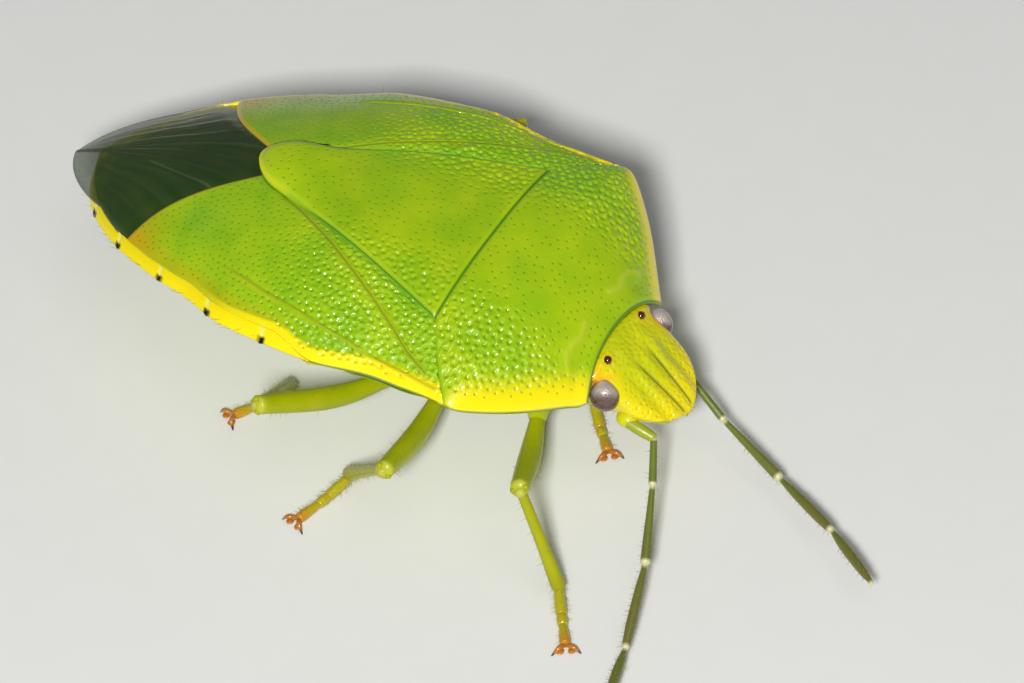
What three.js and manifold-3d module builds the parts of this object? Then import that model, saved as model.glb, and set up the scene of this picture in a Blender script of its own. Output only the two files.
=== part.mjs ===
// A green shield bug, life size, as a still model standing on its six feet.
// Millimetres, +Z up, floor at z = 0. The head points to -Y and the bug's left side is at +X.
// The shape is worked out in the bug's own frame, whose y = 0 is the line where the pronotum
// meets the scutellum, and the finished group is moved so that the origin is the middle of
// the model's footprint on the floor.

import * as THREE from 'three';
import { mergeVertices } from 'three/addons/utils/BufferGeometryUtils.js';
import Module from 'manifold-3d';

const wasm = await Module();
wasm.setup();

// Clear air between neighbouring pieces, and the thickness of the shields and wings
const GAP = 0.25;
const SHIELD = 0.6;
const WING = 0.5;

// Outline of the body seen from above: neck corners, shoulders, widest place and rear end
const NECK_Y = -3.37;
const NECK_HALF = 1.82;
const SHOULDER_Y = -1.33;
const SHOULDER_HALF = 4.36;
const MARGIN_BULGE = 0.2;
const BODY_HALF = 4.2;
const WIDEST_Y = 2.0;
const BODY_END_Y = 10.45;
const OUTLINE_POWER = 1 / 1.9;
const CORNER_ROUND = 0.07;

// Heights: the sharp side margin, the back's midline and the keel of the belly
const MARGIN_Z = 4.52;
const MARGIN_FRONT_SLOPE = 0.575;
const MARGIN_REAR_DROOP = 0.0145;
const BACK_Z = 5.66;
const BACK_FRONT_CURVE = 0.155;
const BACK_REAR_CURVE = 0.013;
const REAR_SLOPE_Y = 5.2;
const REAR_SLOPE_Z = 5.3;
const REAR_SLOPE = 0.22;
const REAR_CURVE = 0.0245;
const KEEL_Z = 1.6;
const KEEL_Y = 3.0;
const KEEL_FRONT_CURVE = 0.02;
const KEEL_REAR_CURVE = 0.036;
const EDGE_DEPTH = 0.2;
const BELLY_FULLNESS = 1.4;

// Pronotum: front edge, and the slanted rear edge beside the scutellum
const COLLAR_Y = -3.12;
const HUMERUS_Y = -1.04;
const BASE_HALF = 2.66;

// Scutellum: a triangle that ends in a rounded tongue
const SCUTELLUM_TAPER = 0.372;
const TONGUE_Y = 4.44;
const TONGUE_TAPER = 0.3;
const SCUTELLUM_END_Y = 6.02;
const TONGUE_LIFT = 0.12;

// Fore wings: the leathery corium ends on a slanted suture, and the membrane passes the abdomen
const CORIUM_INNER_END_Y = 5.95;
const CORIUM_APEX_Y = 8.1;
const CORIUM_APEX_X = 2.4;
const SUTURE_BOW = 0.42;
const RIM = 0.28;
const RIM_START_Y = 0.4;
const RIM_FULL_Y = 2.5;
const MEMBRANE_END_Y = 11.12;
const MEMBRANE_HALF = 2.25;
const MEMBRANE_FROM_Y = 7.0;
const MEMBRANE_POWER = 0.65;
const MEMBRANE_CORNER = 0.3;
const RIM_RISES_Y = [2.6, 3.2];
const RIM_NARROWS_Y = [7.8, 9.4];
const RIM_SINKS_Y = [9.0, 9.4];
const VEINS = 5;
const VEIN_HEIGHT = 0.07;

// Where the trunk is parted into thorax and abdomen
const WAIST_Y = 2.5;
const TRUNK_INSET = 0.4;

// Head: a blunt wedge that slopes down to the tip
const HEAD_REAR_Y = -2.75;
const HEAD_TIP_Y = -5.06;
const HEAD_TIP_Z = 2.32;
const HEAD_HALF = 1.22;
const HEAD_TOP_Z = 4.02;
const HEAD_FLOOR_Z = 1.92;
const EYE = { x: 1.3, y: -3.62, z: 3.3, across: 0.35, high: 0.38 };
const OCELLUS = { x: 0.79, y: -3.36, z: 3.84, r: 0.13 };

// Limbs are at least half a millimetre thick
const FEMUR_R = 0.3;
const TIBIA_R = 0.25;
const TARSUS_R = 0.26;
const CLAW_R = 0.09;
const CLAW_LENGTH = 0.36;
const CLAW_SPREAD = 0.2;
const FEELER_R = 0.25;
const FEELER_TIP_R = 0.16;
const BEAK_R = 0.25;
const COXA_R = 0.55;
const COXA_RISE = 0.4;
const LIMB_SIDES = 8;

// Joints of each leg, as [x, y, z]: hip, knee, ankle and the base of the claws
const LEGS = {
  front_right: [[-1.2, -1.75, 1.55], [-4.35, -3.05, 2.85], [-4.57, -4.11, 0.4], [-5.83, -4.97, 0.2]],
  middle_right: [[-1.5, 0.6, 1.48], [-5.28, -0.11, 2.86], [-3.77, 1.74, 0.4], [-5.3, 2.2, 0.2]],
  hind_right: [[-1.5, 1.8, 1.48], [-5.35, 3.09, 3.46], [-1.99, 4.37, 0.4], [-3.17, 5.14, 0.2]],
  front_left: [[1.2, -1.65, 1.55], [3.4, -2.1, 2.6], [0.75, -2.15, 0.4], [-0.17, -2.98, 0.2]],
  middle_left: [[1.5, 0.6, 1.48], [4.98, 2.12, 3.85], [5.09, 0.88, 0.4], [6.6, 1.3, 0.2]],
  hind_left: [[1.5, 1.8, 1.48], [4.9, 3.4, 3.0], [4.9, 7.1, 0.4], [5.66, 8.42, 0.2]],
};
const FEMUR_SAG = 0.25;

// Joints of each feeler from its base: five segments
const FEELERS = {
  right: [[-1.2, -4.12, 2.55], [-1.18, -4.74, 2.36], [-2.09, -5.19, 1.88], [-3.66, -5.84, 1.13],
    [-5.62, -6.38, 0.5], [-7.53, -6.86, 0.58]],
  left: [[1.2, -4.05, 2.5], [1.45, -4.05, 1.92], [1.02, -5.36, 1.2], [0.37, -7.13, 0.77],
    [-0.61, -8.96, 0.88], [-1.76, -10.58, 1.03]],
};
const FEELER_NAMES = ['scape', 'second', 'third', 'fourth', 'fifth'];

// Finishes
const finish = (color, roughness) => new THREE.MeshStandardMaterial({ color, roughness, metalness: 0 });
const SHIELD_GREEN = finish(0x86b80c, 0.32);
const HEAD_GREEN = finish(0xb4bf12, 0.35);
const CORIUM_GREEN = finish(0x7fae10, 0.34);
const MEMBRANE_SMOKE = finish(0x26401c, 0.22);
const BELLY_GREEN = finish(0xa9b83a, 0.45);
const EYE_GREY = finish(0x6a5c5a, 0.25);
const LEG_OLIVE = finish(0x93a21a, 0.38);
const FOOT_ORANGE = finish(0xb7822a, 0.42);
const FEELER_OLIVE = finish(0x5f6a22, 0.5);

const lerp = (a, b, t) => a + (b - a) * t;
const clamp = (t, low, high) => Math.min(Math.max(t, low), high);
const ramp = (a, b, value) => {
  const t = clamp((value - a) / (b - a), 0, 1);
  return t * t * (3 - 2 * t);
};
const softMin = (a, b, round) => -round * Math.log(Math.exp(-a / round) + Math.exp(-b / round));

// Half the body's width at y, out to the side margin
function halfWidth(y) {
  const t = (y - NECK_Y) / (SHOULDER_Y - NECK_Y);
  const bulge = MARGIN_BULGE * Math.sin(Math.PI * clamp(t, 0, 1));
  const neckLine = lerp(NECK_HALF, SHOULDER_HALF, t) + bulge;
  const rearward = clamp((y - WIDEST_Y) / (BODY_END_Y - WIDEST_Y), 0, 1);
  const body = BODY_HALF * Math.pow(1 - rearward * rearward, OUTLINE_POWER);
  const shoulder = body + (SHOULDER_HALF - BODY_HALF) * ramp(0.5, SHOULDER_Y, y);
  return softMin(neckLine, shoulder, CORNER_ROUND);
}

function marginHeight(y) {
  const front = MARGIN_Z + MARGIN_FRONT_SLOPE * (y + 1.2);
  const rear = MARGIN_Z - MARGIN_REAR_DROOP * Math.max(y - 1, 0) ** 2;
  return softMin(front, rear, CORNER_ROUND);
}

function backHeight(y) {
  if (y < 0) return BACK_Z - BACK_FRONT_CURVE * y * y;
  const shield = BACK_Z - BACK_REAR_CURVE * Math.max(y - 2, 0) ** 2;
  const behind = y - REAR_SLOPE_Y;
  const slope = REAR_SLOPE_Z - REAR_SLOPE * behind - REAR_CURVE * Math.max(behind, 0) ** 2;
  return softMin(shield, slope, 0.1);
}

// Height of the back at (x, y): a crowned section between the two margins
function dorsal(x, y) {
  const across = clamp(Math.abs(x) / halfWidth(y), 0, 1);
  const power = lerp(2.5, 2.0, ramp(2, 8, y));
  const fullness = lerp(0.8, 1.0, ramp(2, 8, y));
  const crown = Math.pow(1 - across ** power, fullness);
  return lerp(marginHeight(y), Math.max(backHeight(y), marginHeight(y)), crown);
}

// Height of the belly at (x, y)
function ventral(x, y) {
  const across = clamp(Math.abs(x) / halfWidth(y), 0, 1);
  const bend = y < KEEL_Y ? KEEL_FRONT_CURVE : KEEL_REAR_CURVE;
  const keel = KEEL_Z + bend * (y - KEEL_Y) ** 2;
  return lerp(marginHeight(y) - EDGE_DEPTH, keel, Math.pow(1 - across * across, BELLY_FULLNESS));
}

// Half the scutellum's width at y
function scutellumHalf(y) {
  const side = BASE_HALF - SCUTELLUM_TAPER * Math.min(y, TONGUE_Y);
  const tongue = side - TONGUE_TAPER * Math.max(y - TONGUE_Y, 0);
  const toEnd = clamp((SCUTELLUM_END_Y - y) / 0.75, 0, 1);
  return tongue * Math.sqrt(1 - (1 - toEnd) ** 2);
}

function membraneHalf(y) {
  const t = clamp((y - MEMBRANE_FROM_Y) / (MEMBRANE_END_Y - MEMBRANE_FROM_Y), 0, 1);
  return MEMBRANE_HALF * Math.pow(1 - t * t, MEMBRANE_POWER);
}

// Turns a list of corner points and index triples into a closed mesh, dropping empty triangles
function solidFrom(points, triangles) {
  const keys = points.map((p) => p.map((v) => Math.round(v * 1e4)).join());
  const flat = [];
  for (const [a, b, c] of triangles) {
    const ka = keys[a];
    const kb = keys[b];
    const kc = keys[c];
    if (ka !== kb && kb !== kc && kc !== ka) flat.push(...points[a], ...points[b], ...points[c]);
  }
  const geometry = new THREE.BufferGeometry();
  geometry.setAttribute('position', new THREE.Float32BufferAttribute(flat, 3));
  return mergeVertices(geometry, 1e-4);
}

// A closed body between a top and a bottom sheet, both given as functions of u and v in 0..1
function slab(rows, columns, top, bottom) {
  const points = [];
  const triangles = [];
  const at = (side, i, j) => (side * (rows + 1) + i) * (columns + 1) + j;
  for (const sheet of [top, bottom]) {
    for (let i = 0; i <= rows; i++) {
      for (let j = 0; j <= columns; j++) points.push(sheet(i / rows, j / columns));
    }
  }
  const quad = (a, b, c, d) => triangles.push([a, b, c], [a, c, d]);
  for (let i = 0; i < rows; i++) {
    for (let j = 0; j < columns; j++) {
      quad(at(0, i, j), at(0, i + 1, j), at(0, i + 1, j + 1), at(0, i, j + 1));
      triangles.push([at(1, i, j), at(1, i + 1, j + 1), at(1, i + 1, j)]);
      triangles.push([at(1, i, j), at(1, i, j + 1), at(1, i + 1, j + 1)]);
    }
  }
  for (let i = 0; i < rows; i++) {
    quad(at(0, i, 0), at(1, i, 0), at(1, i + 1, 0), at(0, i + 1, 0));
    quad(at(0, i + 1, columns), at(1, i + 1, columns), at(1, i, columns), at(0, i, columns));
  }
  for (let j = 0; j < columns; j++) {
    quad(at(0, 0, j + 1), at(1, 0, j + 1), at(1, 0, j), at(0, 0, j));
    quad(at(0, rows, j), at(1, rows, j), at(1, rows, j + 1), at(0, rows, j + 1));
  }
  return outward(solidFrom(points, triangles));
}

// Turns every face over if the body's volume comes out negative
function outward(geometry) {
  const position = geometry.getAttribute('position');
  const index = geometry.getIndex();
  const a = new THREE.Vector3();
  const b = new THREE.Vector3();
  const c = new THREE.Vector3();
  let volume = 0;
  for (let i = 0; i < index.count; i += 3) {
    a.fromBufferAttribute(position, index.getX(i));
    b.fromBufferAttribute(position, index.getX(i + 1));
    c.fromBufferAttribute(position, index.getX(i + 2));
    volume += a.dot(b.cross(c));
  }
  if (volume < 0) {
    for (let i = 0; i < index.count; i += 3) {
      const second = index.getX(i + 1);
      index.setX(i + 1, index.getX(i + 2));
      index.setX(i + 2, second);
    }
  }
  return geometry;
}

// A round limb along a smooth line through the points, with its own radius at each station
// and closed, domed ends. Nothing of it goes below the floor.
function limb(points, radii, sides = LIMB_SIDES, steps = 8) {
  const line = new THREE.CatmullRomCurve3(points.map((p) => new THREE.Vector3(...p)));
  const stations = [];
  const length = line.getLength();
  const dome = [0, 0.4];
  const cap = Math.min(radii[0], length / 4);
  for (const share of dome) stations.push([cap * share, Math.sqrt(1 - (1 - share) ** 2)]);
  for (let i = 0; i <= steps; i++) stations.push([lerp(cap, length - cap, i / steps), 1]);
  for (const share of dome.slice().reverse()) {
    stations.push([length - cap * share, Math.sqrt(1 - (1 - share) ** 2)]);
  }
  const corners = [];
  const triangles = [];
  stations.forEach(([along, share]) => {
    const t = along / length;
    const centre = line.getPointAt(t);
    const tangent = line.getTangentAt(t);
    const side = new THREE.Vector3(0, 0, 1).cross(tangent).normalize();
    const up = tangent.clone().cross(side);
    const place = t * (radii.length - 1);
    const k = Math.min(Math.floor(place), radii.length - 2);
    const radius = Math.max(lerp(radii[k], radii[k + 1], place - k) * share, 0.02);
    for (let j = 0; j < sides; j++) {
      const angle = (2 * Math.PI * j) / sides;
      const p = centre.clone();
      p.addScaledVector(side, radius * Math.cos(angle));
      p.addScaledVector(up, radius * Math.sin(angle));
      corners.push([p.x, p.y, Math.max(p.z, 0)]);
    }
  });
  const last = (stations.length - 1) * sides;
  for (let j = 0; j < sides; j++) {
    const next = (j + 1) % sides;
    for (let i = 0; i < last; i += sides) {
      triangles.push([i + j, i + next, i + sides + next], [i + j, i + sides + next, i + sides + j]);
    }
    if (j > 1) triangles.push([0, j, j - 1], [last, last + j - 1, last + j]);
  }
  return outward(solidFrom(corners, triangles));
}

function ball(place, radii, across = 14, high = 9) {
  const geometry = new THREE.SphereGeometry(1, across, high);
  geometry.scale(...radii);
  geometry.translate(...place);
  return geometry;
}

// Booleans between closed meshes
function toSolid(geometry) {
  const bare = geometry.clone();
  bare.deleteAttribute('normal');
  bare.deleteAttribute('uv');
  const merged = mergeVertices(bare, 1e-4);
  return new wasm.Manifold(new wasm.Mesh({
    numProp: 3,
    vertProperties: new Float32Array(merged.getAttribute('position').array),
    triVerts: new Uint32Array(merged.getIndex().array),
  }));
}

function fromSolid(solid) {
  const pieces = solid.decompose().sort((a, b) => b.volume() - a.volume());
  const mesh = pieces[0].getMesh();
  const geometry = new THREE.BufferGeometry();
  geometry.setAttribute('position', new THREE.BufferAttribute(mesh.vertProperties, 3));
  geometry.setIndex(new THREE.BufferAttribute(mesh.triVerts, 1));
  return geometry;
}

const join = (base, ...others) => fromSolid(others.reduce((s, g) => s.add(toSolid(g)), toSolid(base)));
const carve = (base, ...cuts) => fromSolid(cuts.reduce((s, g) => s.subtract(toSolid(g)), toSolid(base)));

const model = new THREE.Group();

function add(name, geometry, material) {
  const mesh = new THREE.Mesh(geometry, material);
  mesh.name = name;
  model.add(mesh);
}

// The pronotum: its front edge runs from the collar to the shoulder, its rear edge from the
// scutellum to the shoulder, and the two meet at the rounded humeral angle
function pronotum() {
  const front = (s) => {
    const k = Math.abs(s);
    const sign = Math.sign(s);
    if (k < 0.4) {
      const x = (k / 0.4) * NECK_HALF;
      return [sign * x, lerp(COLLAR_Y, NECK_Y, (k / 0.4) ** 2)];
    }
    const y = lerp(NECK_Y, HUMERUS_Y, (k - 0.4) / 0.6);
    return [sign * halfWidth(y), y];
  };
  const rear = (s) => {
    const k = Math.abs(s);
    const sign = Math.sign(s);
    if (k < 0.6) return [(s / 0.6) * BASE_HALF, 0];
    const t = (k - 0.6) / 0.4;
    const y = HUMERUS_Y * t ** 1.25;
    return [sign * lerp(BASE_HALF, halfWidth(HUMERUS_Y), t), y];
  };
  const place = (u, v) => {
    const s = 2 * v - 1;
    const a = front(s);
    const b = rear(s);
    return [lerp(a[0], b[0], u), lerp(a[1], b[1], u)];
  };
  const top = (u, v) => {
    const [x, y] = place(u, v);
    return [x, y, dorsal(x, y)];
  };
  const bottom = (u, v) => {
    const [x, y] = place(u, v);
    const thickness = lerp(SHIELD, 0.22, (Math.abs(x) / halfWidth(y)) ** 2);
    return [x, y, dorsal(x, y) - thickness];
  };
  return slab(8, 24, top, bottom);
}

// The scutellum: rows run from its base to the tip of its tongue
function scutellum() {
  const start = GAP;
  const place = (u, v) => {
    const y = lerp(start, SCUTELLUM_END_Y, Math.sin((u * Math.PI) / 2));
    return [(2 * v - 1) * scutellumHalf(y), y];
  };
  const height = (x, y) => {
    const shield = BACK_Z - BACK_REAR_CURVE * Math.max(y - 2, 0) ** 2;
    const blend = ramp(3.5, 5.5, y);
    return lerp(dorsal(x, y), shield - 0.12 * x * x, blend) + TONGUE_LIFT * blend;
  };
  const top = (u, v) => {
    const [x, y] = place(u, v);
    return [x, y, height(x, y)];
  };
  const bottom = (u, v) => {
    const [x, y] = place(u, v);
    return [x, y, height(x, y) - SHIELD];
  };
  return slab(14, 10, top, bottom);
}

// Width of the abdomen's free edge at y, and how far the wing keeps from the margin for it
const rimAt = (y) => RIM * (1 - 0.8 * ramp(...RIM_NARROWS_Y, y));
const rimRoom = (y) => (rimAt(y) + GAP) * ramp(RIM_START_Y, RIM_FULL_Y, y);

// The leathery part of a fore wing, between the scutellum and the body's margin. Its rear
// edge is the suture of the membrane, bowed a little.
function corium(side) {
  const innerX = (y) => Math.max(scutellumHalf(y), 0.72) + GAP;
  const outerX = (y) => halfWidth(y) - rimRoom(y);
  const place = (u, v) => {
    const innerY = lerp(GAP, CORIUM_INNER_END_Y, u);
    const outerY = lerp(HUMERUS_Y + GAP + 0.1, CORIUM_APEX_Y, u);
    const inner = [innerX(innerY), innerY];
    const outer = [lerp(outerX(outerY), Math.min(outerX(outerY), CORIUM_APEX_X), ramp(0.85, 1, u)), outerY];
    const bow = SUTURE_BOW * Math.sin(Math.PI * v) * u * u;
    const lag = 0.16 * Math.sin(Math.PI * v) * (1 - u);
    return [side * lerp(inner[0], outer[0], v), lerp(inner[1], outer[1], v) + bow + lag];
  };
  const top = (u, v) => {
    const [x, y] = place(u, v);
    return [x, y, dorsal(x, y)];
  };
  const bottom = (u, v) => {
    const [x, y] = place(u, v);
    return [x, y, dorsal(x, y) - WING];
  };
  return slab(20, 8, top, bottom);
}

// Height of the clear membrane's top, which spreads past the end of the abdomen
function sheetHeight(x, y) {
  const reach = -softMin(-halfWidth(y), -membraneHalf(y) - 0.3, 0.1);
  const across = clamp(Math.abs(x) / reach, 0, 1);
  return lerp(marginHeight(y), Math.max(backHeight(y), marginHeight(y)), 1 - across * across);
}

// Half of the clear membrane. Its front edge passes behind the scutellum's tip and then
// follows the corium, and its lengthwise veins are low ridges in its top face.
function membrane(side) {
  const columns = 2 * VEINS + 2;
  const endY = MEMBRANE_END_Y - 0.06;
  const seam = (y) => 0.35 * ramp(MEMBRANE_END_Y, 6.3, y) + side * 0.5 * GAP;
  const frontY = SCUTELLUM_END_Y + GAP + 0.05;
  const cornerX = side * (0.72 + GAP);
  const hingeY = CORIUM_APEX_Y + GAP + 0.1;
  const front = (v) => {
    if (v < MEMBRANE_CORNER) return [lerp(seam(frontY), cornerX, v / MEMBRANE_CORNER), frontY];
    const t = (v - MEMBRANE_CORNER) / (1 - MEMBRANE_CORNER);
    const x = lerp(cornerX, side * membraneHalf(hingeY), t);
    return [x, lerp(frontY, hingeY, t) + SUTURE_BOW * Math.sin(Math.PI * t)];
  };
  const place = (u, v) => {
    const [frontX, startY] = front(v);
    const outerY = lerp(hingeY, endY, Math.sin((u * Math.PI) / 2));
    const innerY = lerp(frontY, endY, u);
    const edge = [side * membraneHalf(outerY), outerY];
    const fan = [lerp(seam(innerY), edge[0], v), lerp(innerY, edge[1], v)];
    const fade = (1 - u) ** 2;
    const rest = [lerp(seam(frontY), side * membraneHalf(hingeY), v), lerp(frontY, hingeY, v)];
    return [fan[0] + (frontX - rest[0]) * fade, fan[1] + (startY - rest[1]) * fade];
  };
  const top = (u, v) => {
    const [x, y] = place(u, v);
    const ridge = VEIN_HEIGHT * ramp(0, 0.15, u) * ramp(0.85, 0.5, u);
    const vein = Math.round(v * columns) % 2 === 1 ? ridge : 0;
    return [x, y, sheetHeight(x, y) + vein];
  };
  const bottom = (u, v) => {
    const [x, y] = place(u, v);
    return [x, y, sheetHeight(x, y) - WING];
  };
  return slab(12, columns, top, bottom);
}

// A stretch of the trunk under the shields and wings. Where the abdomen's edge is free
// (rim true), its outermost columns rise to the margin.
function trunk(fromY, toY, rows, rim, cover) {
  const levels = [0, 0.04, 0.1, 0.2, 0.32, 0.44, 0.5, 0.56, 0.68, 0.8, 0.9, 0.96, 1];
  const columns = levels.length - 1;
  const place = (u, v) => {
    const y = lerp(fromY, toY, rim ? Math.sin((u * Math.PI) / 2) : u);
    const edge = rim ? halfWidth(y) : halfWidth(y) - TRUNK_INSET * ramp(RIM_FULL_Y, 0, y);
    const k = Math.round(v * columns);
    let x = (2 * levels[k] - 1) * edge;
    const fromEdge = { 1: 1, [columns - 1]: 1, 2: 2, [columns - 2]: 2 }[k];
    if (rim && fromEdge) x = Math.sign(x) * Math.max(edge - rimAt(y) * (fromEdge === 1 ? 0.8 : 1), edge * 0.5);
    return [x, y, k];
  };
  const low = (k) => k >= 2 && k <= columns - 2;
  const top = (u, v) => {
    const [x, y, k] = place(u, v);
    const raised = rim && !low(k) ? ramp(...RIM_RISES_Y, y) * (1 - ramp(...RIM_SINKS_Y, y)) : 0;
    return [x, y, dorsal(x, y) - (1 - raised) * (cover + GAP)];
  };
  const bottom = (u, v) => {
    const [x, y] = place(u, v);
    return [x, y, Math.min(ventral(x, y), top(u, v)[2] - 0.08)];
  };
  return slab(rows, columns, top, bottom);
}

// The head: a wedge whose top slopes down to the tip, widest in front of the eyes
function headWedge() {
  const topZ = (y) => {
    const t = (y - HEAD_TIP_Y) / (-3.3 - HEAD_TIP_Y);
    return lerp(HEAD_TIP_Z, HEAD_TOP_Z, clamp(t, 0, 1) ** 0.9) - 0.25 * Math.max(y + 3.3, 0);
  };
  const half = (y) => {
    const t = clamp((y - HEAD_TIP_Y) / (-3.9 - HEAD_TIP_Y), 0, 1);
    return HEAD_HALF * Math.pow(1 - (1 - t) ** 2.2, 0.62);
  };
  const floorZ = (y) => HEAD_FLOOR_Z + 0.45 * ramp(-3.6, HEAD_TIP_Y, y);
  const section = (u, v, upper) => {
    const y = lerp(HEAD_TIP_Y, HEAD_REAR_Y, 1 - Math.cos((u * Math.PI) / 2));
    const angle = (v - 0.5) * Math.PI;
    const x = Math.max(half(y), 0.02) * Math.sin(angle);
    const roof = topZ(y);
    const base = Math.min(floorZ(y), roof - 0.02);
    const waist = lerp(base, roof, 0.58);
    const bend = Math.pow(Math.max(Math.cos(angle), 0), upper ? 0.8 : 1.6);
    return [x, y, lerp(waist, upper ? roof : base, bend)];
  };
  return slab(12, 12, (u, v) => section(u, v, true), (u, v) => section(u, v, false));
}

const eyeBall = (side, grow) => ball(
  [side * EYE.x, EYE.y, EYE.z],
  [EYE.across + grow, EYE.across + grow, EYE.high + grow],
);

const EYE_SOCKETS = [eyeBall(1, GAP), eyeBall(-1, GAP)];

function head(cover) {
  const ocelli = [1, -1].map((side) => ball(
    [side * OCELLUS.x, OCELLUS.y, OCELLUS.z],
    [OCELLUS.r, OCELLUS.r, OCELLUS.r],
    8,
    6,
  ));
  const scapes = Object.values(FEELERS).map((joints) => feeler(joints, 0, GAP));
  return carve(join(headWedge(), ...ocelli), ...EYE_SOCKETS, ...scapes, cover);
}

// A cutter in the shape of the pronotum, swollen by the gap all round its front
function collarCutter() {
  const top = (u, v) => {
    const x = (2 * v - 1) * 3.2;
    const y = lerp(COLLAR_Y - GAP - (x / NECK_HALF) ** 2 * (COLLAR_Y - NECK_Y), 1, u);
    return [x, y, 8];
  };
  const bottom = (u, v) => {
    const [x, y] = top(u, v);
    return [x, y, dorsal(x, Math.max(y, NECK_Y)) - SHIELD - GAP];
  };
  return slab(6, 12, top, bottom);
}

add('pronotum', carve(pronotum(), ...EYE_SOCKETS), SHIELD_GREEN);
add('scutellum', scutellum(), SHIELD_GREEN);
add('corium_left', corium(1), CORIUM_GREEN);
add('corium_right', corium(-1), CORIUM_GREEN);
add('membrane_left', membrane(1), MEMBRANE_SMOKE);
add('membrane_right', membrane(-1), MEMBRANE_SMOKE);

// Hips are lobes of the thorax that the thighs start from
const hips = Object.values(LEGS).map(([hip]) => ball(
  [hip[0] * 0.86, hip[1], hip[2] + COXA_RISE],
  [COXA_R, COXA_R, COXA_R],
  8,
  6,
));
const THORAX_FRONT_Y = HEAD_REAR_Y + GAP;
const thorax = trunk(THORAX_FRONT_Y, WAIST_Y - GAP / 2, 12, false, SHIELD);
const thighRoom = Object.values(LEGS).map((leg) => thigh(leg, GAP));
add('thorax', carve(join(thorax, ...hips), ...thighRoom), BELLY_GREEN);
add('abdomen', trunk(WAIST_Y + GAP / 2, BODY_END_Y - 0.06, 16, true, SHIELD), BELLY_GREEN);

add('head', head(collarCutter()), HEAD_GREEN);
for (const [name, side] of [['left', 1], ['right', -1]]) {
  add(`eye_${name}`, eyeBall(side, 0), EYE_GREY);
}

// The beak lies back under the head and between the hips
const BEAK_LINE = [[0, -4.4, 1.62], [0, -3, 1.38], [0, -1, 1.36], [0, 0.2, 1.2]];
add('rostrum', limb(BEAK_LINE, [BEAK_R, BEAK_R, BEAK_R, 0.16], LIMB_SIDES, 7), LEG_OLIVE);

// A straight run between two joints, cut back at either end
function stretch(from, to, startCut, endCut) {
  const a = new THREE.Vector3(...from);
  const b = new THREE.Vector3(...to);
  const way = b.clone().sub(a).normalize();
  a.addScaledVector(way, startCut);
  b.addScaledVector(way, -endCut);
  return [a, b];
}

// A thigh: bowed down a little, thickest past its middle. With grow it is the room it needs.
function thigh([hip, knee], grow = 0) {
  const [a, b] = stretch(hip, knee, grow ? 0 : GAP, GAP / 2 - grow);
  const middle = a.clone().lerp(b, 0.45);
  middle.z -= FEMUR_SAG;
  const line = [a, middle, b].map((p) => p.toArray());
  const radii = [FEMUR_R * 0.85, FEMUR_R, FEMUR_R * 0.9].map((r) => r + grow);
  return limb(line, radii, LIMB_SIDES, 6);
}

function shin([, knee, ankle], grow = 0) {
  const [a, b] = stretch(knee, ankle, 0, -grow);
  const radii = [TIBIA_R, TIBIA_R, TIBIA_R * 1.1].map((r) => r + grow);
  return limb([a.toArray(), b.toArray()], radii, LIMB_SIDES, 4);
}

// A foot: three joints that thin to a pair of claws, flat underneath where it stands
function foot([, , ankle, clawBase]) {
  const [a, b] = stretch(ankle, clawBase, 0, 0);
  const radii = [TARSUS_R, TARSUS_R * 0.85, TARSUS_R, TARSUS_R * 0.8];
  const sole = limb([a.toArray(), b.toArray()], radii, LIMB_SIDES, 6);
  const way = b.clone().sub(a).setZ(0).normalize();
  const across = new THREE.Vector3(-way.y, way.x, 0);
  const claws = [1, -1].map((side) => {
    const from = (along, aside) => {
      const p = b.clone().addScaledVector(way, along).addScaledVector(across, side * aside);
      return p.toArray();
    };
    const root = from(-0.12, 0.08);
    const arch = from(CLAW_LENGTH * 0.5, CLAW_SPREAD);
    const tip = from(CLAW_LENGTH, CLAW_SPREAD * 0.8);
    tip[2] = CLAW_R * 0.6;
    return limb([root, arch, tip], [CLAW_R, CLAW_R, CLAW_R * 0.5], 6, 3);
  });
  return join(sole, ...claws);
}

// Each limb piece is cut clear of the one before it, so a sharply bent joint stays open
for (const [name, leg] of Object.entries(LEGS)) {
  add(`femur_${name}`, thigh(leg), LEG_OLIVE);
  add(`tibia_${name}`, carve(shin(leg), thigh(leg, GAP)), LEG_OLIVE);
  add(`tarsus_${name}`, carve(foot(leg), shin(leg, GAP), thigh(leg, GAP)), FOOT_ORANGE);
}

// One of a feeler's five segments
function feeler(joints, i, grow = 0) {
  const [a, b] = stretch(joints[i], joints[i + 1], -grow, -grow);
  const tip = i === FEELER_NAMES.length - 1 ? FEELER_TIP_R : FEELER_R;
  return limb([a.toArray(), b.toArray()], [FEELER_R + grow, FEELER_R + grow, tip + grow], LIMB_SIDES, 2);
}

for (const [name, joints] of Object.entries(FEELERS)) {
  FEELER_NAMES.forEach((segment, i) => {
    const whole = feeler(joints, i);
    const clear = i === 0 ? whole : carve(whole, feeler(joints, i - 1, GAP));
    add(`antenna_${name}_${segment}`, clear, FEELER_OLIVE);
  });
}

// The origin is the middle of the footprint
const reach = new THREE.Box3().setFromObject(model);
const middle = reach.getCenter(new THREE.Vector3());
model.position.set(-middle.x, -middle.y, -reach.min.z);
model.updateMatrixWorld(true);

const part = new THREE.Group();
part.add(model);

export default part;
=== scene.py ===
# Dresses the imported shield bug: pitted shields and wings, membrane, skin, head, limbs and hairs.
# Shapes are worked out in millimetres in the bug's own frame, where x is its left, y runs to
# the rear from the line between pronotum and scutellum, and z is the height over the floor.

import math
from functools import partial

import bmesh
import bpy
import numpy as np
from mathutils import Matrix, Vector


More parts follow.
